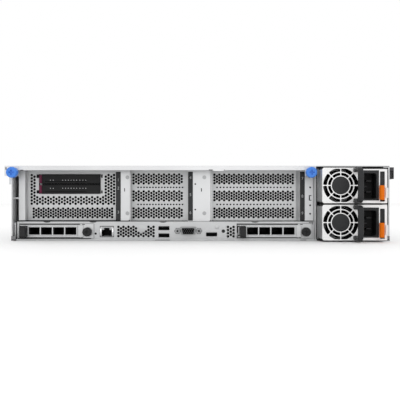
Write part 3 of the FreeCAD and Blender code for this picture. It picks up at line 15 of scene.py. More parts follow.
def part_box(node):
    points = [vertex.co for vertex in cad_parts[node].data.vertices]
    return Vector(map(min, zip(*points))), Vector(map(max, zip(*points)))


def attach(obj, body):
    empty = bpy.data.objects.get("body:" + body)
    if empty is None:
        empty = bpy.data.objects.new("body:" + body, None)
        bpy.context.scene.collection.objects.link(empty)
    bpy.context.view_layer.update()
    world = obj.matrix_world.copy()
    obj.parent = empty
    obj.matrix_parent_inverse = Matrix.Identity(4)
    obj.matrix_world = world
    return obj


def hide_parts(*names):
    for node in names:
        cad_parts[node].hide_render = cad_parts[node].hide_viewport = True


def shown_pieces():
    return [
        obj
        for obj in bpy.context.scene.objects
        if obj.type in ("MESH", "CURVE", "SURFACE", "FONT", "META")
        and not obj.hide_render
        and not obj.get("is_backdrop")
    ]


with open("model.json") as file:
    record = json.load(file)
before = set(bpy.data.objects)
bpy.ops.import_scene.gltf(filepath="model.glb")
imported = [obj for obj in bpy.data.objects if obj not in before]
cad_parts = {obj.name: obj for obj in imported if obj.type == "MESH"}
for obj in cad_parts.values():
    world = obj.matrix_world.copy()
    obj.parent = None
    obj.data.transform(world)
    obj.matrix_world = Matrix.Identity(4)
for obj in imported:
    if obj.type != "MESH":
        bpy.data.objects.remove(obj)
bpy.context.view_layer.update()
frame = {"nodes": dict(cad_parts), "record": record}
nodes = frame["nodes"]

# %% [markdown]
# ## The camera first
# The photograph was taken almost level with the middle of the server and from close by, so the power supplies,
# which stand out towards the lens, look larger than the chassis behind them. A camera 0.8 m behind the rear
# edges, with a field 463 mm wide there, gives the same picture.

# %% Camera
VIEW_PLACE = (-0.0005, -1.157, 0.0469)
FIELD = 463.2 / 800
SENSOR = 36.0
scene = bpy.context.scene


def add_object(name, data):
    """A new object in the scene."""
    made = bpy.data.objects.new(name, data)
    scene.collection.objects.link(made)
    return made


view = bpy.data.cameras.new("photo_view")
view.sensor_width = SENSOR
view.lens = SENSOR / FIELD
camera = add_object("photo_view", view)
camera.location = VIEW_PLACE
camera.rotation_euler = (math.radians(90), 0, 0)
scene.camera = camera
print("lens:", round(view.lens, 1), "mm")

# %% [markdown]
# ## Light and ground
# A product photograph of sheet metal is lit from large white surfaces, because metal shows what it reflects.
# A white sky does most of that work. One wide soft lamp stands behind the camera at nearly its height and lights
# the recesses. Weaker ones at the sides and above the drives keep the other walls from going grey.

# %% World, lamps and floor
MM = 0.001
scene.view_settings.view_transform = "Standard"
world = bpy.data.worlds.new("white_room")
scene.world = world
world.use_nodes = True
sky = world.node_tree.nodes["Background"]
sky.inputs["Color"].default_value = (1.0, 1.0, 1.0, 1.0)
sky.inputs["Strength"].default_value = 1.0


def lamp(name, place, target, wide, power):
    """A square soft lamp at place, facing target."""
    data = bpy.data.lights.new(name, "AREA")
    data.size = wide
    data.energy = power
    made = add_object(name, data)
    made.location = place
    aim = Vector(target) - Vector(place)
    made.rotation_euler = aim.to_track_quat("-Z", "Y").to_euler()


lamp("lamp_rear", (0.0, -2.6, 0.15), (0, -0.3, 0.04), 2.0, 11.0)
lamp("lamp_left", (-2.6, 0.2, 1.2), (0, 0, 0.0), 1.6, 4.0)
lamp("lamp_right", (2.6, 0.2, 1.2), (0, 0, 0.0), 1.6, 4.0)
lamp("lamp_front", (0.3, 2.6, 1.6), (0, 0, 0.0), 1.6, 6.0)

# %% [markdown]
# ## Putting arrays into meshes
# Every new piece below is worked out as whole arrays of points and faces. Only `make_piece` touches Blender: it
# fills a mesh, hangs it on the body that carries it, and hides the CAD nodes it stands for.

# %% From arrays to a piece
def gather(*parts):
    """One (points, faces) pair from several: later faces count on from the points before them."""
    points, faces, start = [], [], 0
    for some, its_faces in parts:
        points.append(np.asarray(some, float))
        faces += [np.asarray(f) + start for f in its_faces if len(f)]
        start += len(some)
    return np.concatenate(points), faces


SHARP = math.radians(35)


def make_piece(name, shape, finish, replaces=(), body="chassis", slot=None):
    """Fills a mesh from (points in mm, list of face arrays), or from a list of such pairs, and rides it on a CAD
    body. The slot argument is not used: the slot it or slot_of gives is worked out and then dropped."""
    points, faces = gather(*shape) if isinstance(shape, list) else shape
    slot = slot or slot_of[finish.name]
    mesh = bpy.data.meshes.new(name)
    corners = np.concatenate([f.ravel() for f in faces]).astype(np.int32)
    counts = np.concatenate([np.full(len(f), f.shape[1]) for f in faces])
    mesh.vertices.add(len(points))
    mesh.vertices.foreach_set("co", (points * MM).astype(np.float32).ravel())
    mesh.loops.add(len(corners))
    mesh.loops.foreach_set("vertex_index", corners)
    mesh.polygons.add(len(counts))
    mesh.polygons.foreach_set("loop_start", np.concatenate([[0], np.cumsum(counts)[:-1]]).astype(np.int32))
    mesh.update(calc_edges=True)
    mesh.validate()
    mesh.shade_smooth()
    mesh.set_sharp_from_angle(angle=SHARP)
    mesh.materials.append(finish)
    piece = add_object(name, mesh)
    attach(piece, body)
    if replaces:
        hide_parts(*replaces)


# %% Floor
def disc(radius, height, count=96):
    """A flat disc: the point at turn t is (radius cos t, radius sin t), fanned from the centre."""
    t = np.linspace(0, 2 * np.pi, count, endpoint=False)
    rim = np.stack([radius * np.cos(t), radius * np.sin(t), np.full(count, height)], 1)
    i = np.arange(count)
    return np.vstack([rim, [[0, 0, height]]]), np.stack([i, (i + 1) % count, np.full(count, count)], 1)


floor_points, floor_faces = disc(9000.0, -0.4)
floor_mesh = bpy.data.meshes.new("floor")
floor_mesh.from_pydata((floor_points * MM).tolist(), [], floor_faces.tolist())
floor = add_object("floor", floor_mesh)
floor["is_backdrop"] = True

# %% [markdown]
# ## Finishes
# Each finish is a node tree. Noise in the piece's own coordinates shifts the tone a little, a finer noise roughens
# the gloss, and the finest one makes the bump. The numbers that stay the same all over are typed on the shader.

# %% Building blocks of a finish
# The record's material slot that each finish fills, by the finish's name
slot_of = {}


def start_finish(name, slot=None, metal=0.0, coat=0.0, ior=1.5, mirror=0.5):
    """A new material and its parts: (material, tree, shader, object coordinates)."""
    made = bpy.data.materials.new(name)
    slot_of[made.name] = slot
    made.use_nodes = True
    tree = made.node_tree
    shader = tree.nodes["Principled BSDF"]
    shader.inputs["Metallic"].default_value = metal
    shader.inputs["Coat Weight"].default_value = coat
    shader.inputs["IOR"].default_value = ior
    shader.inputs["Specular IOR Level"].default_value = mirror
    where = tree.nodes.new("ShaderNodeTexCoord").outputs["Object"]
    return made, tree, shader, where


def noise(tree, where, cells, stretch=(1, 1, 1), detail=3.0):
    """Noise with so many cells to the metre, stretched along an axis where its number is small."""
    fit = tree.nodes.new("ShaderNodeMapping")
    fit.inputs["Scale"].default_value = stretch
    tree.links.new(where, fit.inputs["Vector"])
    made = tree.nodes.new("ShaderNodeTexNoise")
    made.inputs["Scale"].default_value = cells
    made.inputs["Detail"].default_value = detail
    tree.links.new(fit.outputs["Vector"], made.inputs["Vector"])
    return made.outputs["Fac"]


def ramp(tree, factor, *stops):
    """Colours at places from 0 to 1 along a factor."""
    made = tree.nodes.new("ShaderNodeValToRGB")
    band = made.color_ramp
    while len(band.elements) < len(stops):
        band.elements.new(0.5)
    for mark, (place, colour) in zip(band.elements, stops):
        mark.position = place
        mark.color = (*colour, 1.0)
    tree.links.new(factor, made.inputs["Fac"])
    return made.outputs["Color"]


def between(tree, factor, low, high, start=0.3, stop=0.7):
    """A number that runs from low to high as the factor runs from start to stop."""
    made = tree.nodes.new("ShaderNodeMapRange")
    for key, value in (("From Min", start), ("From Max", stop), ("To Min", low), ("To Max", high)):
        made.inputs[key].default_value = value
    tree.links.new(factor, made.inputs["Value"])
    return made.outputs["Result"]


def bump(tree, shader, height, strength, depth):
    """Turns a height into a bump on the shader. depth is in millimetres."""
    made = tree.nodes.new("ShaderNodeBump")
    made.inputs["Strength"].default_value = strength
    made.inputs["Distance"].default_value = depth * MM
    tree.links.new(height, made.inputs["Height"])
    tree.links.new(made.outputs["Normal"], shader.inputs["Normal"])


# %% [markdown]
# Zinc-plated sheet steel is the main finish: pale, satin, with soft clouds where the plating took unevenly and
# faint rolling lines along the sheet. Moulded parts have the fine pebble that spark erosion leaves in a mould.

# %% Sheet metal and moulded plastic
def sheet_metal(name, dark, light, metal=0.55, rough=(0.34, 0.46), lines=(0.06, 1, 1), cloud=9.0,
                slot="sheet_steel"):
    """Plated or painted sheet: clouds of tone, rolling lines in the gloss, a very fine bump."""
    made, tree, shader, where = start_finish(name, slot, metal)
    clouds = noise(tree, where, cloud, detail=5.0)
    tree.links.new(ramp(tree, clouds, (0.32, dark), (0.68, light)), shader.inputs["Base Color"])
    rolled = noise(tree, where, 900.0, stretch=lines, detail=4.0)
    tree.links.new(between(tree, rolled, *rough), shader.inputs["Roughness"])
    bump(tree, shader, rolled, 0.25, 0.02)
    return made


def moulded(name, dark, light, rough=(0.42, 0.58), coat=0.0, mirror=0.25, slot="dark_plastic"):
    """Moulded plastic: an even tone with slight flow marks and a pebbled skin."""
    made, tree, shader, where = start_finish(name, slot, coat=coat, ior=1.46, mirror=mirror)
    flow = noise(tree, where, 30.0, detail=2.0)
    tree.links.new(ramp(tree, flow, (0.3, dark), (0.7, light)), shader.inputs["Base Color"])
    pebble = noise(tree, where, 2400.0, detail=2.0)
    tree.links.new(between(tree, pebble, *rough), shader.inputs["Roughness"])
    bump(tree, shader, pebble, 0.5, 0.03)
    return made


def cool(tone):
    """A grey that leans a little to blue."""
    return tone, tone + 0.005, tone + 0.01


zinc = sheet_metal("zinc_sheet", cool(0.54), cool(0.60))
inner_zinc = sheet_metal("inner_sheet", cool(0.54), cool(0.61), metal=0.35, rough=(0.38, 0.50))
# A darker plated sheet for the supplies' housings and the bay's lips: bare steel, partly painted shade for sides
# turned from the lamp.
side_zinc_shaded = sheet_metal("side_sheet_shaded", cool(0.40), cool(0.47), metal=0.6)
# A darker plated sheet for the rivet buttons, the socket shells and the floor lips.
darker_zinc = sheet_metal("rivet_zinc", cool(0.34), cool(0.42), rough=(0.38, 0.50))
# A lighter copy of the plated sheet for the risers' front plates: painted light on the faces that meet the lamp.
lit_plate_zinc = sheet_metal("plate_sheet_lit", cool(0.58), cool(0.65), metal=0.45)
panel_zinc = sheet_metal("panel_sheet", cool(0.48), cool(0.55), metal=0.45)
# A darker copy of the cover's sheet for its upward faces: painted shade, so the top does not go white under the sky.
shaded_top_zinc = sheet_metal("cover_top_shaded", cool(0.36), cool(0.43), metal=0.75, lines=(1, 0.04, 1), cloud=5.0,
                       slot="cover_steel")
cover_zinc = sheet_metal("cover_sheet", cool(0.60), cool(0.67), lines=(1, 0.05, 1), slot="cover_steel")
bright = sheet_metal("bright_sheet", cool(0.72), cool(0.80), rough=(0.28, 0.40), slot="bright_metal")
shell_white = sheet_metal("supply_shell", (0.78, 0.78, 0.78), (0.85, 0.85, 0.85), metal=0.15,
                          rough=(0.40, 0.52), slot="supply_shell")
dark_plastic = moulded("dark_plastic", (0.019, 0.0195, 0.0205), (0.029, 0.0295, 0.031))
black_plastic = moulded("black_plastic", (0.004, 0.004, 0.0045), (0.008, 0.008, 0.0085), mirror=0.12)
knob_black = moulded("knob_black", (0.014, 0.014, 0.015), (0.024, 0.024, 0.025))
drive_black = moulded("drive_black", (0.006, 0.006, 0.0065), (0.011, 0.011, 0.0115))
blue_plastic = moulded("blue_plastic", (0.050, 0.190, 0.640), (0.075, 0.250, 0.760), rough=(0.32, 0.44),
                       slot="blue_plastic")
orange_plastic = moulded("orange_plastic", (0.62, 0.120, 0.001), (0.74, 0.160, 0.0015), rough=(0.36, 0.48),
                         mirror=0.15, slot="orange_plastic")
pale_plastic = moulded("pale_plastic", cool(0.55), cool(0.66), slot="pale_plastic")
foot_zinc = sheet_metal("foot_zinc", (0.12, 0.12, 0.125), (0.20, 0.20, 0.205), slot="bright_metal")
number_grey = moulded("number_grey", (0.30, 0.30, 0.305), (0.38, 0.38, 0.385))
maroon_plastic = moulded("maroon_plastic", (0.090, 0.006, 0.030), (0.150, 0.012, 0.050), rough=(0.28, 0.40))
dark_metal = sheet_metal("dark_metal", (0.05, 0.05, 0.055), (0.08, 0.08, 0.085), metal=0.8, rough=(0.35, 0.5),
                         slot="dark_metal")
# Near-black metal for the inlet's blades: painted shade deep in the inlet's mouth.
shaded_pin_metal = sheet_metal("shaded_pin_metal", (0.016, 0.016, 0.017), (0.030, 0.030, 0.031), metal=0.7, slot="dark_metal")
board_green = moulded("circuit_board", (0.006, 0.050, 0.022), (0.010, 0.075, 0.034), rough=(0.30, 0.42),
                      coat=0.3, slot="board")
polished = sheet_metal("polished_steel", cool(0.86), cool(0.92), metal=0.6, rough=(0.2, 0.3),
                       slot="bright_metal")

# %% Stage finish
floor_finish, floor_tree, floor_shader, floor_where = start_finish("studio_floor")
floor_tone = noise(floor_tree, floor_where, 1.5)
floor_tree.links.new(ramp(floor_tree, floor_tone, (0.3, (0.96, 0.96, 0.96)), (0.7, (0.98, 0.98, 0.98))),
                     floor_shader.inputs["Base Color"])
floor_shader.inputs["Roughness"].default_value = 0.7
floor_mesh.materials.append(floor_finish)

# %% CAD nodes take their finishes
by_slot = {
    "sheet_steel": zinc, "cover_steel": cover_zinc, "supply_shell": shell_white, "dark_plastic": dark_plastic,
    "blue_plastic": blue_plastic, "orange_plastic": orange_plastic, "pale_plastic": pale_plastic,
    "bright_metal": bright, "dark_metal": dark_metal, "board": board_green, "heatsink_metal": bright,
    "drive_metal": zinc,
}
for row in frame["record"]["subparts"]:
    mesh = nodes[row["node"]].data
    mesh.materials.clear()
    mesh.materials.append(by_slot[row["material_slot"]])
print("dressed")

# %% [markdown]
# ## Sheets with holes
# Most of what the photograph shows is folded sheet metal with punched holes. A hole in real sheet has a wall, and
# light falls into it, so painting dots on a flat face would look flat. Here the outline and every hole are rings
# of points. The rings are joined by walls, and Blender's Delaunay routine fills the sheet between them.

# %% Rings in the sheet's plane
def rect(x0, x1, z0, z1):
    """The four corners of a rectangle, counterclockwise."""
    return np.array([[x0, z0], [x1, z0], [x1, z1], [x0, z1]], float)


def rounded(x0, x1, z0, z1, radius, steps=4):
    """A rectangle whose corners are quarter circles: corner centre + radius (cos t, sin t)."""
    t = np.linspace(-np.pi / 2, 0, steps + 1)
    turns = np.concatenate([t + k * np.pi / 2 for k in range(4)])
    centre_x = np.repeat([x1 - radius, x1 - radius, x0 + radius, x0 + radius], steps + 1)
    centre_z = np.repeat([z0 + radius, z1 - radius, z1 - radius, z0 + radius], steps + 1)
    return np.stack([centre_x + radius * np.cos(turns), centre_z + radius * np.sin(turns)], 1)


def circle(x, z, radius, count=24, waves=0, depth=0.0):
    """Points at radius (1 + depth cos(waves t)) round (x, z); waves make a knurled rim."""
    t = np.arange(count) * 2 * np.pi / count
    reach = radius * (1 + depth * np.cos(waves * t))
    return np.stack([x + reach * np.cos(t), z + reach * np.sin(t)], 1)


def many(centres, radius, count=10):
    """The same small round hole at each centre."""
    t = (np.arange(count) + 0.5) * 2 * np.pi / count
    one = radius * np.stack([np.cos(t), np.sin(t)], 1)
    return list(np.asarray(centres, float)[:, None, :] + one)


def turned(ring, sense):
    """The ring run counterclockwise for sense 1 and clockwise for -1."""
    ring = np.asarray(ring, float)
    after = np.roll(ring, -1, 0)
    area = np.sum(ring[:, 0] * after[:, 1] - after[:, 0] * ring[:, 1])
    return ring if area * sense > 0 else ring[::-1]


# %% Sheets, blocks and folds
def sheet(outline, holes, front, thick, roll=0.0, hole_roll=0.0):
    """A sheet facing -Y. Each ring becomes a wall between front and front + thick; roll is the edge's chamfer.
    A chamfered corner moves along the mean of its two edges' normals, into the material."""
    rings = [turned(outline, 1)] + [turned(h, -1) for h in holes]
    counts = np.array([len(r) for r in rings])
    edge = np.concatenate(rings)
    own = np.repeat(np.arange(len(rings)), counts)
    start = np.repeat(np.cumsum(counts) - counts, counts)
    step = np.arange(len(edge)) - start
    after = start + (step + 1) % counts[own]
    before = start + (step - 1) % counts[own]
    run = edge[after] - edge
    normal = np.stack([-run[:, 1], run[:, 0]], 1) / np.linalg.norm(run, axis=1)[:, None]
    mean = (normal[before] + normal) / (1 + np.sum(normal[before] * normal, 1))[:, None]
    rolls = np.where(own == 0, roll, hole_roll)
    inset = edge + mean * rolls[:, None]
    levels = [(inset, front + 0 * rolls), (inset, front + thick + 0 * rolls)]
    if roll or hole_roll:
        levels[1:1] = [(edge, front + rolls), (edge, front + thick - rolls)]
    points = np.concatenate([np.stack([p[:, 0], y, p[:, 1]], 1) for p, y in levels])
    count = len(edge)
    i = np.arange(count)
    walls = [np.stack([i, i + count, after + count, after], 1) + k * count for k in range(len(levels) - 1)]
    if len(levels) == 4:
        walls[0], walls[2] = walls[0][rolls > 0], walls[2][rolls > 0]
    links = list(zip(i.tolist(), after.tolist()))
    border = [list(range(counts[0]))]
    filled = geometry.delaunay_2d_cdt([Vector(p) for p in inset], links, border, 2, 1e-6)
    own_point = np.array([o[0] if o else -1 for o in filled[3]])
    cap = own_point[np.array(filled[2])]
    a, b, c = inset[cap[:, 0]], inset[cap[:, 1]], inset[cap[:, 2]]
    sense = (b[:, 0] - a[:, 0]) * (c[:, 1] - a[:, 1]) - (b[:, 1] - a[:, 1]) * (c[:, 0] - a[:, 0])
    cap = np.where(sense[:, None] > 0, cap, cap[:, ::-1])
    return points, walls + [cap, cap[:, ::-1] + (len(levels) - 1) * count]


def block(x0, x1, y0, y1, z0, z1, roll=0.15):
    """A box with chamfered edges."""
    return sheet(rect(x0, x1, z0, z1), [], y0, y1 - y0, roll)


def outward(shape):
    """Turns a closed shape's faces over when the volume they enclose comes out negative."""
    points, faces = shape
    volume = 0.0
    for f in faces:
        for k in range(1, f.shape[1] - 1):
            volume += np.sum(points[f[:, 0]] * np.cross(points[f[:, k]], points[f[:, k + 1]]))
    return points, faces if volume > 0 else [f[:, ::-1] for f in faces]


def along_x(shape):
    """A sheet drawn in (y, z) and made thick along X: its first two coordinates change places."""
    return outward((shape[0][:, [1, 0, 2]], shape[1]))


def along_z(shape):
    """A sheet drawn in (x, y) and made thick along Z: its last two coordinates change places."""
    return outward((shape[0][:, [0, 2, 1]], shape[1]))


def loft(rings):
    """A skin over a row of closed rings, (rings, points, 3), with both ends closed by a fan."""
    rings = np.asarray(rings, float)
    n, m = rings.shape[:2]
    i, j = np.meshgrid(np.arange(n - 1) * m, np.arange(m), indexing="ij")
    a, b = (i + j).ravel(), (i + (j + 1) % m).ravel()
    j = np.arange(m)
    points = np.vstack([rings.reshape(-1, 3), rings[0].mean(0), rings[-1].mean(0)])
    first = np.stack([(j + 1) % m, j, np.full(m, n * m)], 1)
    last = np.stack([(n - 1) * m + j, (n - 1) * m + (j + 1) % m, np.full(m, n * m + 1)], 1)
    return outward((points, [np.stack([a, b, b + m, a + m], 1), first, last]))


def lathe(profile, x, z, count=32):
    """A profile of (radius, y) turned round an axis along Y: point (x + r cos t, y, z + r sin t)."""
    profile = np.asarray(profile, float)
    t = np.arange(count) * 2 * np.pi / count
    r, y = profile[:, :1], profile[:, 1:]
    return loft(np.stack([x + r * np.cos(t), y + 0 * t, z + r * np.sin(t)], 2))


def strip_along(path, wide, thick, x):
    """A flat strip with softened edges carried along a path in (y, z): its section's width lies along X."""
    path = np.asarray(path, float)
    run = np.gradient(path, axis=0)
    run /= np.linalg.norm(run, axis=1)[:, None]
    normal = np.stack([run[:, 1], -run[:, 0]], 1)
    section = rounded(-wide / 2, wide / 2, -thick / 2, thick / 2, min(wide, thick) * 0.3, 3)
    yz = path[:, None, :] + normal[:, None, :] * section[None, :, 1:]
    xs = np.broadcast_to(x + section[None, :, :1], yz.shape[:2] + (1,))
    return loft(np.concatenate([xs, yz], 2))


test = sheet(rect(0, 10, 0, 10), many([(3, 3), (7, 7)], 1.0), 0, 1, 0.2)
print("a test sheet has", len(test[0]), "points")

# %% [markdown]
# ## The risers
# Behind the rear edge stand three folded cages that hold the expansion cards. Each has bright front plates, and
# between them a wall set 12 mm deeper. The left wall carries two boot drives in a perforated frame. The photograph
# shows round holes on a hexagonal lattice, so their centres come from one formula with a column and a row number.

# %% Hole fields
def lattice(x, z, columns, rows, across, down):
    """Centres of a staggered field round (x, z): odd columns are half a row lower and have one hole less."""
    i, k = np.meshgrid(np.arange(columns), np.arange(rows), indexing="ij")
    px = x + (i - (columns - 1) / 2) * across
    pz = z + ((rows - 1) / 2 - k - 0.5 * (i % 2)) * down
    keep = ~((i % 2 == 1) & (k == rows - 1))
    return np.stack([px[keep], pz[keep]], 1)


SLOT_Z = (31.5, 51.8, 72.1)
# Planes that face the camera, as places along Y: the risers' front plates and recessed walls, the slot covers,
# the socket panel and the faces of the supplies
PLATE, WALL, COVER, PANEL, SUPPLY = -343.0, -331.0, -330.2, -347.0, -381.0


def slot_cover(x, z, columns, across, down, half):
    """One vented cover behind its window."""
    field = lattice(x, z, columns, 4, across, down)
    return sheet(rect(x - half, x + half, z - 8.5, z + 8.5), many(field, 1.59), COVER, 0.4)


covers = [slot_cover(-152.6, SLOT_Z[0], 33, 2.93, 3.38, 49.9)]
covers += [slot_cover(-51.2, z, 20, 3.03, 3.5, 33.0) for z in SLOT_Z]
covers += [slot_cover(63.65, z, 33, 2.93, 3.38, 49.9) for z in SLOT_Z]
make_piece("slot_covers_vented", covers, inner_zinc, ["slot_covers"])
print("slot covers:", len(covers))

# %% Riser walls
CAGE_TOP, CAGE_LOW, CAGE_END = 83.6, 22.3, -167
THIN = 0.8


def window(x0, x1, z):
    """The opening in front of a slot cover, with small corner rounds."""
    return rounded(x0, x1, z - 7.6, z + 7.6, 0.8, 2)


def rail_slots(x0, x1, count, z):
    """A row of small upright slots."""
    return [rounded(x - 1.1, x + 1.1, z - 0.85, z + 0.85, 0.6, 2) for x in np.linspace(x0, x1, count)]


def rib(x0, x1, count, z):
    """The raised strip between two slot covers, with its row of slots."""
    return sheet(rounded(x0 - 3.2, x1 + 2.4, z - 1.7, z + 1.7, 1.6, 4), rail_slots(x0, x1, count, z),
                 WALL - 0.5, 0.5, 0.3, 0.0)


def riser(r0, r1, holes, lean=0.0):
    """One cage without its front plates: recessed wall, its two side returns, roof and board wall. The right
    return leans by so many millimetres, so it faces the middle a little."""
    left, right = r0 - THIN, r1 + THIN
    fold = [[r1 - lean, WALL], [right - lean, WALL], [right, PLATE + THIN], [r1, PLATE + THIN]]
    return [sheet(rect(left, right, CAGE_LOW, CAGE_TOP), holes, WALL, 0.5),
            block(left, r0, PLATE + THIN, WALL, CAGE_LOW, CAGE_TOP, 0.0),
            along_z(sheet(np.array(fold), [], CAGE_LOW, CAGE_TOP - CAGE_LOW)),
            block(left, right, WALL + THIN, CAGE_END, CAGE_TOP - THIN, CAGE_TOP),
            block(r1, right, WALL + THIN, CAGE_END, CAGE_LOW + 10, CAGE_TOP - THIN)]


def front_plate(outline, holes=()):
    """A bright plate in the front plane. It starts a little above the socket panel, which leaves a dark seam."""
    return sheet(outline, holes, PLATE, THIN, 0.12, 0.0)


PLATE_LOW = 22.6


def dimple(x, z, radius=2.25):
    """A half-pierced round in a front plate: a low button with a soft edge."""
    return lathe([(radius * 0.4, PLATE - 0.3), (radius * 0.9, PLATE - 0.25), (radius, PLATE - 0.05),
                  (radius, PLATE + 0.4)], x, z, 24)


def cut_plate(x0, x1, low=PLATE_LOW):
    """A plate's outline with its two right corners cut off."""
    return np.array([[x0, low], [x1 - 1.6, low], [x1, low + 1.6], [x1, CAGE_TOP - 1.8], [x1 - 1.8, CAGE_TOP],
                     [x0, CAGE_TOP]])


# %% The left riser
i, k = np.meshgrid(np.arange(31), np.arange(10), indexing="ij")
keep = ((i < 2) | (i > 26) | (k >= 7)) & ~((i % 2 == 1) & (k == 9))
frame_holes = np.stack([(-201.7 + 3.28 * i)[keep], (76.7 - 3.8 * k - 1.9 * (i % 2))[keep]], 1)
bay = np.array([[-193.0, 54.2], [-119.2, 54.2], [-119.2, 77.8], [-193.0, 77.8], [-193.0, 77.5], [-196.0, 77.5],
                [-196.0, 73.2], [-193.0, 73.2], [-193.0, 58.6], [-196.0, 58.6], [-196.0, 54.7], [-193.0, 54.7]])
bay_clips = [rect(-118.7, -116.9, 54.7, 58.3), rect(-118.7, -116.9, 73.4, 77.5)]
left_holes = many(frame_holes, 1.62) + [bay, *bay_clips, window(-201.8, -103.2, SLOT_Z[0])]
left = riser(-206.4, -99.8, left_holes)
plates = [front_plate(rect(-214.0, -206.4, PLATE_LOW, CAGE_TOP)),
          front_plate(cut_plate(-99.8, -82.9), [rounded(-89.9, -88.9, 56.8, 60.9, 0.45, 2)])]
left += [block(-217.8, -214.0, PLATE, PLATE + 0.8, 48.0, 50.2)]
left += [sheet(rounded(-205.7, -202.9, 22.6, 40.4, 0.6, 2), [circle(-204.3, 25.0, 0.8, 10)], WALL - 0.7, 0.5,
               0.15)]
RIVET_Z = (73.5, 31.2)
rivets = [dimple(-86.0, z) for z in RIVET_Z]
make_piece("riser_left_folded", left, inner_zinc, ["riser_cage_left"])
make_piece("riser_left_plates", plates, lit_plate_zinc)
# A black tunnel inside the bay and a black sheet between the two drives: painted shade for the unlit bay behind the
# drive fronts.
bay_tunnel = sheet(rect(-193.6, -118.8, 53.6, 78.4), [rect(-192.8, -119.4, 54.4, 77.6)], WALL + 0.8, 109.2)
bay_gap_shade = block(-191.2, -120.2, -326.0, -226.0, 65.75, 65.95, 0.0)
make_piece("boot_bay_shade", [bay_tunnel, bay_gap_shade], black_plastic)

# %% The middle and right risers
RIB_Z = (62.0, 41.6)
# The first and last slot of a rib and how many there are
MIDDLE_RIB, RIGHT_RIB = (-74.5, -21.4, 16), (19.9, 108.0, 23)


def three_windows(x0, x1, slots):
    """The holes of a wall with three slot covers and two ribs between them."""
    return [window(x0, x1, z) for z in SLOT_Z] + [hole for z in RIB_Z for hole in rail_slots(*slots, z)]


middle = riser(-81.8, -15.0, three_windows(-81.6, -19.4, MIDDLE_RIB))
pin_holes = [circle(-6.1, 65.7, 1.0, 10), circle(-6.1, 35.6, 1.0, 10), rounded(0.7, 1.7, 56.8, 60.9, 0.45, 2)]
plates = [front_plate(cut_plate(-15.0, 12.0, 21.8), pin_holes)]
middle += [rib(*MIDDLE_RIB, z) for z in RIB_Z]
rivets += [dimple(4.6, z) for z in RIVET_Z]
make_piece("riser_rivets", rivets, darker_zinc)
make_piece("riser_middle_folded", middle, inner_zinc, ["riser_cage_middle"])
make_piece("riser_middle_plates", plates, lit_plate_zinc)

right = riser(13.1, 117.0, three_windows(14.6, 112.7, RIGHT_RIB), 3.2)
pin_holes = [circle(129.3, z, 1.15, 10) for z in (61.8, 40.6, 30.7)]
pin_holes += [np.array([[127.8, 46.2], [130.9, 46.2], [130.9, 47.1], [129.1, 47.1], [129.1, 51.7], [130.9, 51.7],
                        [130.9, 52.6], [127.8, 52.6]])]
plates = [front_plate(rect(117.0, 133.1, PLATE_LOW, CAGE_TOP), pin_holes)]
right += [rib(*RIGHT_RIB, z) for z in RIB_Z]
make_piece("riser_right_folded", right, inner_zinc, ["riser_cage_right"])
make_piece("riser_right_plates", plates, lit_plate_zinc)

# %% Dark backing
def backing(x0, x1, z0, z1, back, holes=()):
    """A thin black sheet a little behind a punched one: it stands for the unlit inside of the server."""
    return sheet(rect(x0, x1, z0, z1), holes, back, 0.3)


WELL = COVER + 1.3
# Where the cages of each card begin, and the two ends of each lift notch
CARD_X = (-202.1, 53.1)
NOTCHES = [(-187.5, -172.5), (-133.5, -118.5), (-51.3, -36.3), (56.5, 71.5)]
backs = [backing(-206.0, -100.2, 22.2, 83.0, WELL, [rect(-193.8, -118.6, 53.4, 78.6)])]
backs += [backing(x0, x1, 22.2, 82.6, WELL) for x0, x1 in ((-81.6, -15.4), (13.4, 113.0))]
backs += [backing(x0, x1, 21.7, 83.0, PLATE + 1.0) for x0, x1 in ((-99.0, -83.6), (-14.4, 11.4), (118.0, 132.6))]
backs += [backing(x0, x1, 54.0, 78.0, WALL + 1.0) for x0, x1 in ((-196.6, -193.8), (-118.6, -116.4))]
backs += [backing(x0, x1, 2.6, 20.2, PANEL + 1.4) for x0, x1 in ((-99.4, -51.0), (31.6, 39.6))]
backs += [backing(x - 11.4, x + 78.2, 1.5, 19.9, PANEL + 1.1, [rect(x - 9.4, x + 76.9, 3.3, 17.8)]) for x in CARD_X]
backs += [backing(-124.4, -121.2, 5.9, 9.1, PANEL + 1.05)]
backs += [backing(a + 1.0, b - 1.0, 20.0, 21.4, PANEL + 1.02) for a, b in NOTCHES]
make_piece("hole_backing", backs, black_plastic)

# %% [markdown]
# ## The socket panel
# Under the risers runs one narrow panel with every socket of the main board. Its upper edge is folded back and
# dips at four lift notches. The air holes round the rivet boss are the same lattice as before with the centres
# near the boss left out.

# %% Socket panel
USB_AT = ((-42.8, 5.4), (-42.8, 13.8), (13.1, 6.6))
air = lattice(-75.6, 10.0, 15, 4, 2.94, 3.6)
air = air[np.hypot(air[:, 0] + 69.0, air[:, 1] - 14.0) > 5.6]
narrow_air = lattice(35.6, 9.8, 3, 4, 3.3, 3.7)
d_shape = np.array([[-24.0, 14.8], [-22.6, 6.4], [-21.2, 5.9], [-7.4, 5.9], [-6.0, 6.4], [-4.6, 14.8],
                    [-5.2, 15.6], [-23.4, 15.6]])
openings = [rect(-212.6, -124.6, 1.9, 19.3), rect(42.6, 130.6, 1.9, 19.3), rect(-117.9, -101.5, 3.3, 16.5)]
openings += [rounded(x - 7.0, x + 7.0, z - 2.9, z + 2.9, 0.4, 2) for x, z in USB_AT]
openings += [d_shape, circle(-26.8, 10.6, 2.6, 12), circle(-1.8, 10.6, 2.6, 12), circle(26.9, 10.4, 2.1, 16)]
openings += [circle(-122.9, 7.5, 1.35, 12)] + many(air, 1.6) + many(narrow_air, 1.6)
t = np.linspace(0, 1, 9)[:, None]
lens = [np.hstack([b - 3.0 + (a - b + 6.0) * t, 21.6 - 1.2 * np.sin(np.pi * t) ** 0.5]) for a, b in NOTCHES[::-1]]
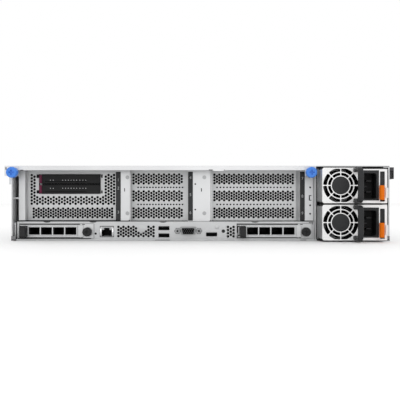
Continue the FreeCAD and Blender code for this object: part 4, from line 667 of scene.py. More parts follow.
PANEL_X0, PANEL_X1, FOLD_END = -215.0, 133.4, PANEL + 10.0
edge = np.vstack([[[PANEL_X0, 1.2], [PANEL_X1, 1.2], [PANEL_X1, 21.6]], *lens, [[PANEL_X0, 21.6]]])
panel = [sheet(edge, openings, PANEL, 1.0, 0.12, 0.0)]
dips = [np.hstack([a + (b - a) * t, PANEL + 1.0 + 5.0 * np.sin(np.pi * t)]) for a, b in NOTCHES]
fold = np.vstack([[[PANEL_X0, PANEL + 1.0]], *dips,
                  [[PANEL_X1, PANEL + 1.0], [PANEL_X1, FOLD_END], [PANEL_X0, FOLD_END]]])
panel += [along_z(sheet(fold, [], 20.6, 1.0)), block(PANEL_X0, PANEL_X1, PANEL + 1.0, FOLD_END, 1.2, 2.2, 0.0)]
for x, z, radius in ((-69.0, 13.4, 4.9), (19.5, 15.3, 2.8)):
    boss = [(0.4, -0.95), (0.9, -0.9), (1.0, -0.45), (radius * 0.8, -0.45), (radius, -0.1), (radius, 0.2)]
    panel += [lathe([(r, PANEL + y) for r, y in boss], x, z, 24)]
panel += [sheet(rounded(42.2, 44.0, 5.0, 8.4, 0.5, 2), [], PANEL - 1.2, 1.3, 0.2)]
make_piece("socket_panel", panel, panel_zinc, ["rear_io_panel"])
print("panel holes:", len(openings))

# %% [markdown]
# ## Network cards
# Two identical cards slide in beside the sockets. A card has a face plate, four transceiver cages whose mouths are
# framed by thin spring fingers, a dark pull tab with a chamfered front, and a dark thumbscrew.

# %% One network card
def frame_of(x0, x1, z0, z1, wall, front, deep, roll=0.1, radius=0.3):
    """A rectangular tunnel: a sheet with one hole, made deep."""
    return sheet(rounded(x0, x1, z0, z1, radius, 2), [rounded(x0 + wall, x1 - wall, z0 + wall, z1 - wall, radius, 2)],
                 front, deep, roll, roll * 0.6)


# The plane of a card's face, and the width, lower and upper edge of its row of cages
CARD_FACE, CAGES_WIDE, CAGE_LOW_Z, CAGE_HIGH_Z = -348.1, 58.35, 5.6, 15.9


def mouths(x):
    """The left and right edges of the four cage mouths, one pitch of 14.25 mm apart."""
    return [(x + 1.35 + p * 14.25, x + 14.25 + p * 14.25) for p in range(4)]


def card_face(x):
    """The face plate with its cage opening and, at its right end, the brighter folded bracket."""
    front = CARD_FACE
    outline = np.array([[x - 9.6, 3.3], [x + 61.0, 3.3], [x + 61.0, 2.2], [x + 77.2, 2.2], [x + 77.2, 19.0],
                        [x + 61.0, 19.0], [x + 61.0, 17.9], [x - 9.6, 17.9]])
    opening = rect(x, x + CAGES_WIDE, CAGE_LOW_Z, CAGE_HIGH_Z)
    plate_shape = sheet(outline, [opening, circle(x + 70.1, 9.7, 1.9, 16)], front, 1.0, 0.1, 0.0)
    bracket = block(x + 58.8, x + 65.0, front - 0.9, front, 3.2, 17.6, 0.3)
    lip = block(x - 9.0, x + 60.4, front - 0.5, front, 16.8, 17.5, 0.15)
    return gather(plate_shape, bracket, lip)


def card_tab(x):
    """The pull tab: its side view has a long chamfer at the front end."""
    side = np.array([[-360.1, 5.2], [-360.1, 15.0], [-358.6, 16.6], [CARD_FACE, 16.6], [CARD_FACE, 3.6],
                     [-358.6, 3.6]])
    shape = along_x(sheet(side, [], x - 6.8, 6.5, 0.5))
    grooves = [along_x(sheet(rect(-359.95, -359.0, z, z + 0.7), [], x - 5.9, 4.6, 0.15))
               for z in (7.2, 9.2, 11.2, 13.2)]
    clip_hole = rounded(x - 8.9, x - 7.8, 5.6, 15.6, 0.5, 2)
    clip = sheet(rounded(x - 9.7, x - 7.1, 4.3, 16.9, 0.9, 3), [clip_hole], -348.9, 0.8)
    return gather(shape, clip, *grooves)


def cages(x):
    """Four cages in a row, each a deep tunnel, and the three spring fingers above each mouth."""
    parts = [sheet(rect(x, x + CAGES_WIDE, CAGE_LOW_Z, CAGE_HIGH_Z),
                   [rounded(a, b, 6.35, 15.15, 0.4, 2) for a, b in mouths(x)], -349.7, 47.0, 0.12, 0.12),
             block(x, x + CAGES_WIDE, -302.7, -299.7, CAGE_LOW_Z, CAGE_HIGH_Z, 0.1)]
    finger = np.array([[-349.5, 15.1], [-349.3, 14.8], [-346.0, 14.5], [-343.0, 15.1]])
    fingers = [along_x(sheet(finger, [], a + 1.2 + q * 4.0, 2.8)) for a, b in mouths(x) for q in range(3)]
    return parts, fingers


def liner(x0, x1, z0, z1, front, back, wall=0.25):
    """A dark thin tunnel just inside a mouth, closed at its far end: in the cards' cages and the USB shells it is
    painted shade.
    """
    inside = rect(x0 + wall, x1 - wall, z0 + wall, z1 - wall)
    tunnel = sheet(rect(x0 + 0.05, x1 - 0.05, z0 + 0.05, z1 - 0.05), [inside], front, back - front)
    return gather(tunnel, block(x0 + 0.05, x1 - 0.05, back, back + 0.6, z0 + 0.05, z1 - 0.05, 0.0))


def cross_screw(x, z, face, radius, head, waves=18):
    """A captive thumbscrew: knurled rim, chamfered nose with a cross recess, and its shank."""
    front, back = face - 0.05 - head, face - 0.05
    arm, slot = radius * 0.46, radius * 0.12
    cross = np.array([[slot, slot], [arm, slot], [arm, -slot], [slot, -slot], [slot, -arm], [-slot, -arm],
                      [-slot, -slot], [-arm, -slot], [-arm, slot], [-slot, slot], [-slot, arm], [slot, arm]])
    nose = sheet(circle(x, z, radius - 0.05, 36), [cross + (x, z)], front, 2.4, 0.8, 0.15)
    body = sheet(circle(x, z, radius, 72, waves, 0.022), [], front + 1.6, head - 1.6, 0.25)
    shank = lathe([(radius * 0.3, back - 0.3), (radius * 0.3, back + 5.0), (radius * 0.2, back + 5.6)], x, z, 16)
    return gather(nose, body, shank)


for side, x in zip(("left", "right"), CARD_X):
    body = "card_" + side
    make_piece(f"card_{side}_face", card_face(x), zinc, ["network_card_" + side], body=body)
    make_piece(f"card_{side}_tab", card_tab(x), knob_black, body=body)
    make_piece(f"card_{side}_board", block(x - 8.0, x + 61.75, -347.1, -235.0, 4.0, 5.6, 0.1), board_green,
               body=body)
    tunnels, fingers = cages(x)
    make_piece(f"card_{side}_cages", tunnels, zinc, ["network_cages_" + side], body=body, slot="bright_metal")
    make_piece(f"card_{side}_fingers", fingers, foot_zinc, body=body)
    # A dark tunnel inside each cage mouth: painted shade for the unlit cage.
    mouth_shades = [liner(a, b, 6.35, 15.15, -348.9, -304.0) for a, b in mouths(x)]
    make_piece(f"card_{side}_linings", mouth_shades, dark_plastic, body=body)
    # Two black dashes just above and below the bracket: painted shadow at its ends.
    shadow_dashes = [block(x + a, x + a + 3.0, -348.4, -348.05, low, low + 0.7, 0.0)
             for a, low in ((63.8, 18.0), (61.6, 2.5))]
    make_piece(f"card_{side}_marks", shadow_dashes, black_plastic, body=body)
    make_piece(f"card_{side}_knob", cross_screw(x + 70.1, 9.7, -348.1, 5.2, 8.0, 24), knob_black,
               ["network_screw_" + side], body=body + "_screw")
for side, x in (("left", -216.5), ("right", 127.6)):
    make_piece(f"thumbscrew_{side}_knob", cross_screw(x, 78.7, -358.3, 6.2, 9.0), blue_plastic,
               ["thumbscrew_" + side], body="thumbscrew_" + side)
print("cards and thumbscrews made")

# %% [markdown]
# ## Sockets
# Each socket shows a metal shell, a dark inside and its contacts. The network socket has the stepped mouth of its
# plug, eight contact wires and two lamps. The display socket is a D with three rows of five holes.

# %% Network socket
SOCKET_X = -109.7


def network_socket():
    """The shell with its stepped mouth, and the block that closes it behind."""
    x, z = SOCKET_X, 4.4
    mouth = np.array([[-5.9, 0], [5.9, 0], [5.9, 7.4], [3.1, 7.4], [3.1, 9.8], [-3.1, 9.8], [-3.1, 7.4], [-5.9, 7.4]])
    shell = sheet(rounded(x - 7.7, x + 7.7, 3.8, 15.9, 0.9, 3), [mouth + (x, z)], -347.3, 16.3, 0.3, 0.15)
    back = block(x - 7.7, x + 7.7, -331.0, -327.0, 3.8, 15.9, 0.1)
    return gather(shell, back)


def side_wings():
    """Two sprung earthing tabs: each is a strip carried along a bow that leaves the shell and comes back."""
    s = np.linspace(0, np.pi, 9)
    bow = np.stack([-347.35 - 0.9 * np.sin(s), 5.6 + 8.6 * s / np.pi], 1)
    return [strip_along(bow, 1.7, 0.35, SOCKET_X + side * 7.0) for side in (-1, 1)]


def wires():
    """Eight contacts side by side on the floor of the mouth: each is a small block."""
    return [block(x - 0.28, x + 0.28, -345.0, -336.0, 4.5, 5.4, 0.1) for x in SOCKET_X + (np.arange(8) - 3.5) * 1.02]


socket_dark = [liner(-115.6, -103.8, 4.4, 11.8, -346.9, -331.8), liner(-112.8, -106.6, 11.8, 14.2, -346.9, -331.8)]
make_piece("network_socket_lining", socket_dark, black_plastic)
lamps = [block(x - 1.1, x + 1.1, -347.8, -347.3, 13.0, 15.6, 0.2) for x in (SOCKET_X - 6.3, SOCKET_X + 6.3)]
make_piece("network_socket_shell", network_socket(), darker_zinc, ["network_port"], slot="bright_metal")
make_piece("network_socket_wires", wires(), foot_zinc)
make_piece("network_socket_wings", side_wings(), polished)
ring_gap = backing(-118.3, -101.1, 2.9, 16.9, PANEL + 1.1, [rect(-117.2, -102.2, 4.0, 15.7)])
make_piece("network_socket_gap", ring_gap, black_plastic)
make_piece("network_socket_lamps", lamps, pale_plastic)

# %% USB and display sockets
shells, tongues, mouth_shades = [], [], []
for x, z in USB_AT:
    shells.append(frame_of(x - 6.9, x + 6.9, z - 2.8, z + 2.8, 0.4, -347.2, 16.0, 0.12))
    shells.append(block(x - 6.9, x + 6.9, -331.2, -327.0, z - 2.8, z + 2.8, 0.1))
    tongues.append(block(x - 5.6, x + 5.6, -345.6, -331.2, z + 0.2, z + 2.0, 0.2))
    # The dark tunnel inside each shell: painted shade.
    mouth_shades.append(liner(x - 6.5, x + 6.5, z - 2.4, z + 2.4, -347.0, -332.0))
make_piece("usb_shells", shells, bright, ["usb_ports"])
make_piece("usb_tongues_and_shade", [*tongues, *mouth_shades], black_plastic)

d_outer = np.array([[-22.4, 14.0], [-21.2, 7.2], [-20.4, 6.4], [-8.2, 6.4], [-7.4, 7.2], [-6.2, 14.0],
                    [-7.0, 14.8], [-21.6, 14.8]])
d_inner = (d_outer - d_outer.mean(0)) * (0.92, 0.85) + d_outer.mean(0)
washers = []
display = [sheet(d_outer, [d_inner], -352.6, 6.6, 0.3, 0.1)]
display += [sheet(rounded(-29.7, 1.1, 5.0, 16.8, 0.8, 2), [], -346.0, 19.0, 0.2)]
POST_X = (-26.8, -1.8)
for x in POST_X:
    display.append(sheet(circle(x, 10.6, 2.55, 6), [circle(x, 10.6, 1.3, 12)], -351.0, 4.4, 0.3, 0.15))
    washers.append(sheet(circle(x, 10.6, 3.9, 6), [circle(x, 10.6, 3.0, 24)], -347.45, 0.45, 0.1))
pins = np.stack(np.meshgrid(np.arange(5), np.arange(3), indexing="ij"), -1).reshape(-1, 2)
pin_places = np.stack([-18.9 + 2.3 * pins[:, 0] - 0.6 * (pins[:, 1] == 1), 8.5 + 2.1 * pins[:, 1]], 1)
insert = gather(sheet(d_inner, many(pin_places, 0.5, 8), -351.2, 5.0, 0.0, 0.0),
                *[lathe([(1.25, -350.2), (1.25, -348.0)], x, 10.6, 12) for x in POST_X])
make_piece("display_socket_shell", display, darker_zinc, ["display_port"], slot="bright_metal")
make_piece("display_washers", washers, foot_zinc)
make_piece("display_socket_insert", insert, black_plastic)
button = sheet(circle(26.9, 10.4, 1.85, 24), [], -347.4, 9.4, 0.35)
collar = sheet(circle(26.9, 10.4, 3.0, 24), [], -345.8, 1.2, 0.1)
make_piece("reset_button_cap", [button, collar], dark_plastic, ["reset_button"], body="reset_button")
print("sockets made")

# %% [markdown]
# ## Power supplies
# Each supply is a long steel box with a white face. The face is a fan grille: a hub disc, two rings of slots cut by
# eight spokes, and the pitched blades turning behind it. A slot is a piece of a ring, so its outline runs out along
# one arc and back along another, with softly rounded ends. The outer ring is cut flat above and below, where the
# housing ends.

# %% Grille slots
ROUND_END = 0.3


def ring_slot(x, z, inner, outer, start, stop, bar):
    """Part of a ring between two spokes: arc out at one radius, back at the other, with softly rounded ends."""
    middle, half = (inner + outer) / 2, (outer - inner) / 2
    shift = (bar / 2 + half * ROUND_END) / middle
    a = np.linspace(start + shift, stop - shift, 7)
    arc = np.stack([np.cos(a), np.sin(a)], 1)
    cap = np.linspace(0, np.pi, 6)[1:-1, None]

    def end(outwards, sense):
        along = sense * np.array([-outwards[1], outwards[0]])
        return middle * outwards + half * (np.cos(cap) * sense * outwards + ROUND_END * np.sin(cap) * along)

    return np.vstack([outer * arc, end(arc[-1], 1), inner * arc[::-1], end(arc[0], -1)]) + (x, z)


def flat_ring(ring, z, half):
    """The ring with its top and bottom cut flat, half above and half below z."""
    return np.stack([ring[:, 0], np.clip(ring[:, 1], z - half, z + half)], 1)


def grille(x, z, spokes=8):
    """The rings of slots round the hub disc."""
    step = 2 * np.pi / spokes
    turns = np.arange(spokes) * step
    holes = [ring_slot(x, z, 11.1, 14.3, a, a + step, 0.9) for a in turns]
    return holes + [flat_ring(ring_slot(x, z, 15.4, 19.8, a, a + step, 0.9), z, 18.8) for a in turns]


# %% Fan blades
def blade(x, z, y0, depth, inner, outer, turn):
    """One blade: section rings at stations from hub to tip. Each section is an ellipse-like strip whose chord is
    pitched steeply at the hub and flatter at the tip, and it leans back as it goes out."""
    r = np.linspace(inner, outer, 7)[:, None]
    s = np.arange(16) * 2 * np.pi / 16
    share = (r - inner) / (outer - inner)
    pitch = np.radians(52 - 20 * share)
    chord = depth * 0.42 * (0.85 + 0.35 * share)
    along, across = np.cos(s) * chord, np.sin(s) * 0.6
    belly = 0.12 * chord * (1 - np.cos(s) ** 2)
    round_by = (along * np.sin(pitch) - (across + belly) * np.cos(pitch)) / r + turn + 0.35 * share ** 2
    y = y0 + depth / 2 + along * np.cos(pitch) * 0.9 + (across + belly) * np.sin(pitch)
    y = np.clip(y, y0 + 0.3, y0 + depth - 0.3)
    return loft(np.stack([x + r * np.cos(round_by), y, z + r * np.sin(round_by)], 2))


def rotor(x, z, y0, depth, hub, tip, blades, shaft):
    """A hub with a domed nose, its blades and its shaft."""
    nose = [(hub * 0.3, y0), (hub * 0.75, y0 + 0.15), (hub * 0.94, y0 + 0.8), (hub, y0 + 2.0), (hub, y0 + depth)]
    parts = [lathe(nose, x, z, 40)]
    parts += [blade(x, z, y0, depth, hub * 0.93, tip, k * 2 * np.pi / blades) for k in range(blades)]
    parts.append(lathe([(shaft, y0 + depth - 0.2), (shaft, y0 + depth + 3.0)], x, z, 12))
    return parts


# %% A power supply's parts
def supply_outline(x0, x1, z, step):
    """The face's outline: large round corners on the fan side, small ones by the wall, and a step in the top."""
    right, left = (rounded(x0, x1, z - 20.0, z + 20.0, radius, 3) for radius in (0.8, 2.2))
    if not step:
        return np.vstack([right[:8], left[8:]])
    step_x, step_z = INLET[0] + 1.0, z + 18.5
    low = [[x1, z + 17.9], [x1 - 0.6, step_z], [step_x, step_z], [step_x, z + 20.0]]
    return np.vstack([right[:4], low, left[8:]])


# The two sides of the mains inlet and the axis of the fan
INLET, FAN_X = (178.2, 200.6), 157.6


def supply_case(z, step):
    """Face with grille and pockets, the housing round them, and the long box behind."""
    x0, x1, face = 136.9, 209.9, SUPPLY
    mouth = rect(*INLET, z - 17.0, z + 17.0)
    slit = rounded(201.7, 207.1, z - 18.2, z + 15.7, 0.6, 2)
    outline = supply_outline(x0, x1, z, step)
    front = sheet(outline, [*grille(FAN_X, z), mouth, slit], face, 0.5, 0.15, 0.0)
    bump_out = block(207.7, x1 - 0.1, face - 1.6, face - 0.02, z - 13.6, z - 2.6, 0.4)
    housing = sheet(outline, [flat_ring(circle(FAN_X, z, 20.3, 64), z, 19.5), mouth, slit], face + 0.5, 26.5)
    return [front, bump_out], [housing, sheet(outline, [], face + 27.0, 158.0, 0.0)]


def bail_path(z, reach=-404.5, half=17.2, bend=6.5):
    """Out from the face, round a quarter turn, along the grip, round again and back."""
    a = np.linspace(0, np.pi / 2, 7)
    low = np.stack([reach + bend - bend * np.sin(a), z - half + bend - bend * np.cos(a)], 1)
    high = np.stack([low[::-1, 0], 2 * z - low[::-1, 1]], 1)
    grip = np.stack([np.full(5, reach), np.linspace(z - half + bend, z + half - bend, 7)[1:-1]], 1)
    return np.vstack([[[SUPPLY, z - half]], low, grip, high, [[SUPPLY, z + half]]])


def inlet_parts(z):
    """The inlet's frame, the deep dark mouth behind it with its floor, and three blade pins."""
    (x0, x1), face = INLET, SUPPLY
    mouth = rounded(x0 + 1.1, x1 - 2.8, z - 15.0, z + 13.6, 2.2, 4)
    outer = rounded(x0, x1, z - 17.0, z + 17.0, 1.2, 3)
    bezel = sheet(outer, [mouth], face, 2.4, 0.4, 0.5)
    well = [sheet(outer, [mouth], face + 2.4, 18.6), sheet(outer, [], face + 21.0, 3.0)]
    pins = [block(x1 - 12.4 - shift, x1 - 6.4 - shift, face + 9.0, face + 21.0, z + up - 0.9, z + up + 0.9, 0.3)
            for up, shift in ((-7.2, 0.0), (-1.0, 5.0), (5.2, 0.0))]
    return bezel, well, pins


def latch_shape(z):
    """The latch, drawn from above: a springy strip, and a tab rolled over at its end like half an ellipse,
    (x, y) = (middle + 2.9 cos t, tip + 3.4 - 3.4 sin t)."""
    tip, middle, strip, strip_end = -392.0, 201.8, 205.0, -337.0
    t = np.linspace(np.pi, 0, 13)
    roll = np.stack([middle + 2.9 * np.cos(t), tip + 3.4 - 3.4 * np.sin(t)], 1)
    rest = [[strip, strip_end], [strip - 1.2, strip_end], [strip - 1.2, tip + 5.0], [199.3, tip + 5.0]]
    return along_z(sheet(np.vstack([roll, rest]), [], z - 16.3, 16.2, 0.3))


for row, z in (("lower", 21.5), ("upper", 63.3)):
    body = "psu_" + row
    front, housing = supply_case(z, row == "upper")
    make_piece(f"{body}_face", front, shell_white, [f"{body}_case"], body=body)
    make_piece(f"{body}_housing", housing, side_zinc_shaded, body=body)
    outer, inner = (flat_ring(circle(FAN_X, z, 20.2 - gap, 64), z, 19.4 - gap) for gap in (0.0, 0.25))
    fan_lining = sheet(outer, [inner], -380.45, 26.0)
    make_piece(f"{body}_fan_lining", fan_lining, black_plastic, body=body)
    # Black strips along the top and bottom of each supply's left side: painted shadow where the supply meets the bay
    # wall.
    corner_shade_strips = [block(136.7, 139.4, -380.9, -357.6, z + low, z + low + 1.5, 0.3) for low in (-19.95, 18.45)]
    make_piece(f"{body}_runners", corner_shade_strips, black_plastic, body=body)
    make_piece(f"{body}_blades", rotor(FAN_X, z, -378.0, 23.7, 9.9, 17.6, 7, 1.5), black_plastic,
               [f"{body}_rotor"], body=body + "_rotor")
    hub = lathe([(9.6, -381.3), (10.0, -381.15), (10.15, -380.9), (10.15, -380.1)], FAN_X, z, 48)
    make_piece(f"{body}_hub_disc", hub, dark_plastic, body=body)
    make_piece(f"{body}_handle", strip_along(bail_path(z), 6.3, 5.0, 174.75), dark_plastic, [f"{body}_bail"],
               body=body)
    socket, well, blades = inlet_parts(z)
    make_piece(f"{body}_socket", socket, dark_plastic, [f"{body}_inlet"], body=body)
    make_piece(f"{body}_socket_well", well, drive_black, body=body)
    # A dark block just behind the slit above the latch: painted shade for the unlit inside.
    make_piece(f"{body}_slit_shade", block(201.9, 206.9, -379.6, -379.0, z + 0.2, z + 15.5, 0.0), dark_plastic,
               body=body)
    make_piece(f"{body}_socket_pins", blades, shaded_pin_metal, body=body)
    make_piece(f"{body}_tab", latch_shape(z), orange_plastic, [f"{body}_latch"], body=body + "_latch")

# %% [markdown]
# Where two sheets meet, the photograph shows thin dark lines, and small lips and pads stand out at the edges. They
# are small blocks laid on the rear edges, listed row by row.

# %% Shade lines, feet and flange shadows
# Each row is a small dark block: X, Y and Z from and to, and the chamfer of its edges; all but the foot pads are
# painted shade.
shade_lines_and_pads = [block(*row) for row in (
    (135.2, 217.0, -355.3, -354.65, 41.85, 42.95, 0.0),  # gap between the two supplies
    (216.1, 217.4, -357.5, -357.02, 18.2, 49.2, 0.0),  # gaps at the right wall
    (216.1, 217.4, -357.5, -357.02, 61.2, 82.0, 0.0),
    (-218.9, -213.5, -358.2, -357.05, 0.05, 0.9, 0.1),  # foot pads
    (211.6, 219.0, -358.2, -357.05, 0.05, 0.9, 0.1),
    (134.7, 135.45, -357.2, -356.7, 1.5, 83.8, 0.0),  # seams of the bay's left wall
    # painted shadow where the supplies meet the bay's left wall
    (134.8, 136.6, -358.4, -357.05, 40.6, 44.4, 0.4),
    (133.95, 134.65, -357.3, -357.02, 1.5, 83.8, 0.0),
    (134.7, 141.2, -358.4, -357.05, 0.1, 1.3, 0.1),
    # painted shadow under the cover's edge
    (179.8, 217.4, -357.6, -357.1, 82.4, 84.3, 0.0),  # gap under the cover
    (-214.0, -128.0, -347.2, -346.9, 1.25, 1.95, 0.0),  # shadow lines of the socket panel and the left riser
    (-214.0, -94.0, -343.4, -343.1, 21.65, 23.1, 0.0),
    (166.0, 217.0, -357.5, -357.1, 41.7, 43.1, 0.0),
    (127.0, 132.4, -347.2, -346.9, 20.1, 20.8, 0.0),
    (131.2, 131.9, -347.2, -346.9, 18.2, 20.1, 0.0))]
make_piece("bay_shade_lines_and_pads", shade_lines_and_pads, black_plastic)
bay_lips = [block(135.5, 136.6, -357.0, -355.8, z0, z1, 0.1) for z0, z1 in ((2.4, 40.2), (45.2, 83.0))]
make_piece("bay_lips", bay_lips, side_zinc_shaded)
bar = block(-217.4, -215.6, -349.6, -347.3, 3.0, 20.6, 0.2)
make_piece("edge_bar", bar, zinc)
corner_feet = [block(x0, x1, -358.3, -357.05, 0.95, 5.2, 0.2) for x0, x1 in ((-218.9, -213.6), (215.7, 218.9))]
make_piece("corner_feet", corner_feet, foot_zinc, slot="sheet_steel")
floor_lips = [block(x0, x1, -358.0, -357.05, 0.05, 1.0, 0.1) for x0, x1 in ((-52.6, -35.3), (115.6, 122.4))]
make_piece("floor_lips", floor_lips, darker_zinc)
# Thin black blocks along the flange's lower edge and beside its tab: painted shadow under the flange.
flange_shadow_dashes = [block(x0, x1, -358.65, -358.25, z0, z1, 0.0) for x0, x1, z0, z1 in (
    (-225.3, -224.3, 81.9, 84.7), (9.6, 14.4, 81.3, 82.0), (27.2, 28.4, 81.3, 81.8), (-208.4, -204.9, 80.9, 81.7))]
make_piece("flange_shadow_dashes", flange_shadow_dashes, black_plastic, body="cover")
make_piece("flange_tab", block(14.6, 27.0, -358.4, -357.4, 80.3, 81.5, 0.15), cover_zinc, body="cover")
print("power supplies made")

# %% [markdown]
# ## The covers
# A server is opened by turning two thumbscrews and sliding its rear cover back, so two shallow dishes are pressed
# into the cover for the thumbs. A dish is a closed section carried round a rounded rectangle, with a ribbed floor.
# The flat sheet itself is drawn from above and made thick upwards, with a hole where each dish or screw sits.

# %% Pressed dishes
def skirt(x0, x1, y0, y1, radius, section):
    """A closed section of (inset, z) points carried round a rounded rectangle: each point gives one ring."""
    rings = []
    for inset, z in section:
        flat = rounded(x0 + inset, x1 - inset, y0 + inset, y1 - inset, radius - inset, 6)
        rings.append(np.hstack([flat, np.full((len(flat), 1), z)]))
    n, m = len(rings), len(rings[0])
    i, j = [grid.ravel() for grid in np.meshgrid(np.arange(n), np.arange(m), indexing="ij")]
    faces = np.stack([i * m + j, i * m + (j + 1) % m, (i + 1) % n * m + (j + 1) % m, (i + 1) % n * m + j], 1)
    return outward((np.vstack(rings), [faces]))


def dish(x, y, long=56.0, wide=20.0):
    """A thumb dish: sloped skirt, flat floor and five ribs across it."""
    x0, x1, y0, y1 = x - long / 2, x + long / 2, y - wide / 2, y + wide / 2
    section = [(0.05, 86.4), (0.5, 86.2), (2.2, 85.0), (2.8, 84.8), (2.8, 84.3), (0.05, 85.4)]
    wall = skirt(x0, x1, y0, y1, wide / 2 - 0.1, section)
    bottom = along_z(sheet(rounded(x0 + 2.75, x1 - 2.75, y0 + 2.75, y1 - 2.75, wide / 2 - 2.85, 6), [], 84.3, 0.5))
    ribs = [along_z(sheet(rounded(x - 20, x + 20, v - 0.6, v + 0.6, 0.5, 3), [], 84.7, 0.7, 0.25))
            for v in y + np.linspace(-5.2, 5.2, 5)]
    return [wall, bottom, *ribs]


def flush_screw(x, y):
    """A countersunk screw turned about an upright axis, with a round recess in its head."""
    profile = [(0.9, 85.6), (1.1, 86.1), (2.5, 86.25), (2.9, 86.1), (2.9, 85.4)]
    return along_z(lathe(profile, x, y, 20))


# %% Rear cover and drive cover
TOP, BOTTOM, REAR_EDGE, JOINT = 86.5, 85.3, -357.1, 173.0
dishes = [(x, -37.0) for x in (-109.5, 109.5)]
screws = [(x, y) for x in (-205.0, 205.0) for y in (-150.0, 30.0, 160.0)]
vents = [rounded(x - 1.6, x + 1.6, y - 9.0, y + 9.0, 1.5, 3) for y in (88.0, 62.0)
         for x in np.concatenate([np.linspace(-176, -24, 20), np.linspace(24, 176, 20)])]
cuts = [rounded(x - 28, x + 28, y - 10, y + 10, 9.9, 6) for x, y in dishes]
cuts += [circle(x, y, 3.1, 20) for x, y in screws]
edge = np.array([[-219, REAR_EDGE], [219, REAR_EDGE], [219, -317], [220, -317], [220, JOINT], [-220, JOINT],
                 [-220, -317], [-219, -317]])
skin = [along_z(sheet(edge, cuts + vents, BOTTOM, TOP - BOTTOM, 0.25, 0.0))]
skin += [part for x, y in dishes for part in dish(x, y)] + [flush_screw(x, y) for x, y in screws]
make_piece("cover_skin", skin, shaded_top_zinc, ["top_cover"], body="cover")
lips = [block(x0, x0 + 0.8, -317, JOINT, 78.5, 85.35, 0.1) for x0 in (-220.0, 219.2)]
lips += [block(-210.8, 121.0, -358.3, REAR_EDGE, 81.2, TOP, 0.3)]
for x0, x1, x in ((-226.7, -210.8, -216.5), (121.0, 133.9, 127.6)):
    lips.append(sheet(rounded(x0, x1, TOP - 11.8, TOP, 0.6, 2), [circle(x, 78.7, 2.3, 20)], -358.3, 1.2, 0.25))
make_piece("cover_lips", lips, cover_zinc, body="cover")

front_screws = [(x, y) for x in (-205.0, -70.0, 70.0, 205.0) for y in (183.0, 362.0)]
front_edge = rect(-220, 220, JOINT + 0.4, 378.0)
cuts = [circle(x, y, 3.1, 20) for x, y in front_screws]
skin = [along_z(sheet(front_edge, cuts, BOTTOM, TOP - BOTTOM, 0.25, 0.0))]
skin += [flush_screw(x, y) for x, y in front_screws]
make_piece("drive_cover_skin", skin, shaded_top_zinc, ["drive_cover"])
lips = [block(x0, x0 + 0.8, JOINT + 0.4, 317.5, 78.5, 85.35, 0.1) for x0 in (-220.0, 219.2)]
make_piece("drive_cover_lips", lips, cover_zinc)
print("covers made, vents:", len(vents))

# %% [markdown]
# ## Boot drives and slot numbers
# Two thin drives sit one above the other in the left riser. Each has a dark hinged front with a long finger
# groove, a row of pale dots and a dark red end. A black block behind it fills the bay: painted shade that keeps the
# gap between the two fronts dark. Beside the slots run dark strips with the slot numbers, which are cut from
# Blender's own text and turned into a mesh before their place is applied.

# %% Boot drive fronts
def drive_front(z0, z1):
    """The bar with a sunk groove along its foot."""
    groove = rounded(-185.9, -135.6, z0 + 1.6, z0 + 2.6, 0.4, 2)
    return sheet(rounded(BOOT_X0, BOOT_X1, z0, z1, 0.6, 2), [groove], -334.0, 1.2, 0.35, 0.0)


BOOT_X0, BOOT_X1 = -188.9, -119.6
DOT_X = (-178.6, -175.3, -164.0, -160.7, -157.4, -154.1, -150.8, -147.5, -143.6, -140.0, -136.6)
# Name, lower and upper edge of the front, height of its dots, lower edge of the block behind
BOOT_ROWS = (("lower", 54.7, 64.9, 60.9, 54.5), ("upper", 66.8, 77.0, 70.5, 66.0))
for row, z0, z1, dot_z, back_low in BOOT_ROWS:
    body = f"boot_{row}_lever"
    grip = block(-192.0, BOOT_X0, -335.0, -326.4, z0 + 0.2, z1 - 0.2, 0.6)
    dots = [block(x - 0.4, x + 0.4, -334.15, -333.9, dot_z - 0.4, dot_z + 0.4, 0.0) for x in DOT_X]
    make_piece(f"boot_{row}_front", drive_front(z0, z1), drive_black, [f"boot_lever_{row}"], body=body)
    # The black block behind the front is painted shade: it keeps the gap between the two fronts dark.
    back = sheet(rect(BOOT_X0, BOOT_X1, back_low, back_low + 11.2), [], -332.8, 6.4)
    make_piece(f"boot_{row}_back", back, black_plastic, body=body)
    make_piece(f"boot_{row}_dots", dots, pale_plastic, body=body)
    make_piece(f"boot_{row}_end", grip, maroon_plastic, body=body)


# %% Slot numbers
def words(text, x, z, front, high, finish, name):
    """Text standing in the XZ plane, facing -Y, centred on (x, z): made a mesh, then moved by its points."""
    curve = bpy.data.curves.new(name, "FONT")
    curve.body, curve.size, curve.extrude = text, high * MM, 0.05 * MM
    curve.align_x = curve.align_y = "CENTER"
    holder = add_object(name, curve)
    bpy.context.view_layer.update()
    mesh = bpy.data.meshes.new_from_object(holder)
    bpy.data.objects.remove(holder)
    flat = np.zeros(len(mesh.vertices) * 3, np.float32)
    mesh.vertices.foreach_get("co", flat)
    flat = flat.reshape(-1, 3)
    placed = np.stack([flat[:, 0] + x * MM, front * MM - flat[:, 2], flat[:, 1] + z * MM], 1)
    mesh.vertices.foreach_set("co", placed.astype(np.float32).ravel())
    mesh.materials.clear()
    mesh.materials.append(finish)
    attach(add_object(name, mesh), "chassis")


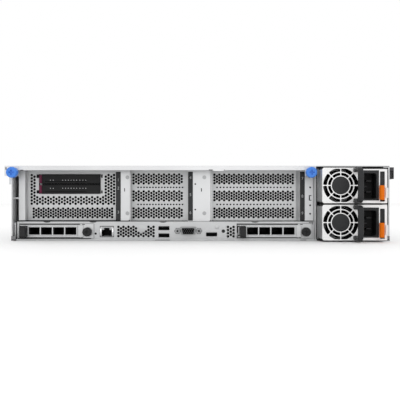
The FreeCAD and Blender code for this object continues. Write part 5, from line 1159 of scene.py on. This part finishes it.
strips = [sheet(rounded(x, x + 5.7, 22.6, 80.2, 0.4, 2), [], -343.5, 0.5, 0.15) for x in (-99.6, -14.6, 117.2)]
make_piece("number_strips", strips, dark_plastic, ["slot_number_strips"])
number_rows = ((-96.75, (1, 2, 3), (70.5, 60.7, 32.4)), (-11.75, (4, 5, 6), (73.0, 53.0, 31.9)),
               (120.05, (7, 8, 9), (72.1, 51.2, 31.2)))
for x, numbers, heights in number_rows:
    for number, z in zip(numbers, heights):
        words(str(number), x, z, -343.55, 4.8, number_grey, f"slot_number_{number}")
print("numbers made")

# %% [markdown]
# ## The drive side
# The drives, the blanks between them and the rack ears come straight from CAD, because their shapes are right. A
# fine bevel on their edges catches the light as a real moulded or folded edge does. The CAD mesh is loose
# triangles, so a Weld modifier joins them first. Each drive also gets two lamps and a dark red thumb button.

# %% Softened CAD edges
def soften(name, width):
    """Weld and then bevel the sharp edges of a CAD node by so many millimetres."""
    weld = nodes[name].modifiers.new("weld", "WELD")
    weld.merge_threshold = 1e-6
    edge = nodes[name].modifiers.new("edges", "BEVEL")
    edge.width, edge.segments = width * MM, 2
    edge.limit_method, edge.angle_limit = "ANGLE", math.radians(40)


for name in ("rack_ear_left", "rack_ear_right", "drive_fillers", "drive_cage", "rear_hook", "power_button"):
    soften(name, 0.35)
for i in (1, 2, 3, 4):
    soften(f"drive_tray_{i}", 0.25)
    soften(f"drive_lever_{i}", 0.35)

# %% Drive lamps and buttons
def front_of(node):
    """The middle X and the front plane of a CAD node, in mm."""
    low, high = (np.array(corner) * 1000 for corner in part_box(node))
    return (low[0] + high[0]) / 2, high[1]


for i in (1, 2, 3, 4):
    x, face = front_of(f"drive_tray_{i}")
    lenses = [sheet(circle(x + s * 2.6, 75.4, 0.9, 16), [], face - 0.3, 0.5, 0.15) for s in (-1, 1)]
    make_piece(f"drive_{i}_lamps", lenses, pale_plastic, body=f"drive_tray_{i}")
    x, face = front_of(f"drive_lever_{i}")
    thumb = sheet(rounded(x - 3.6, x + 3.6, 58.5, 64.5, 1.2, 4), [], face - 0.4, 0.9, 0.3)
    make_piece(f"drive_{i}_thumb", thumb, maroon_plastic, body=f"drive_lever_{i}")
print("drive side dressed")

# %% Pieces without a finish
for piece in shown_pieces():
    if not piece.data.materials:
        print("no finish:", piece.name)
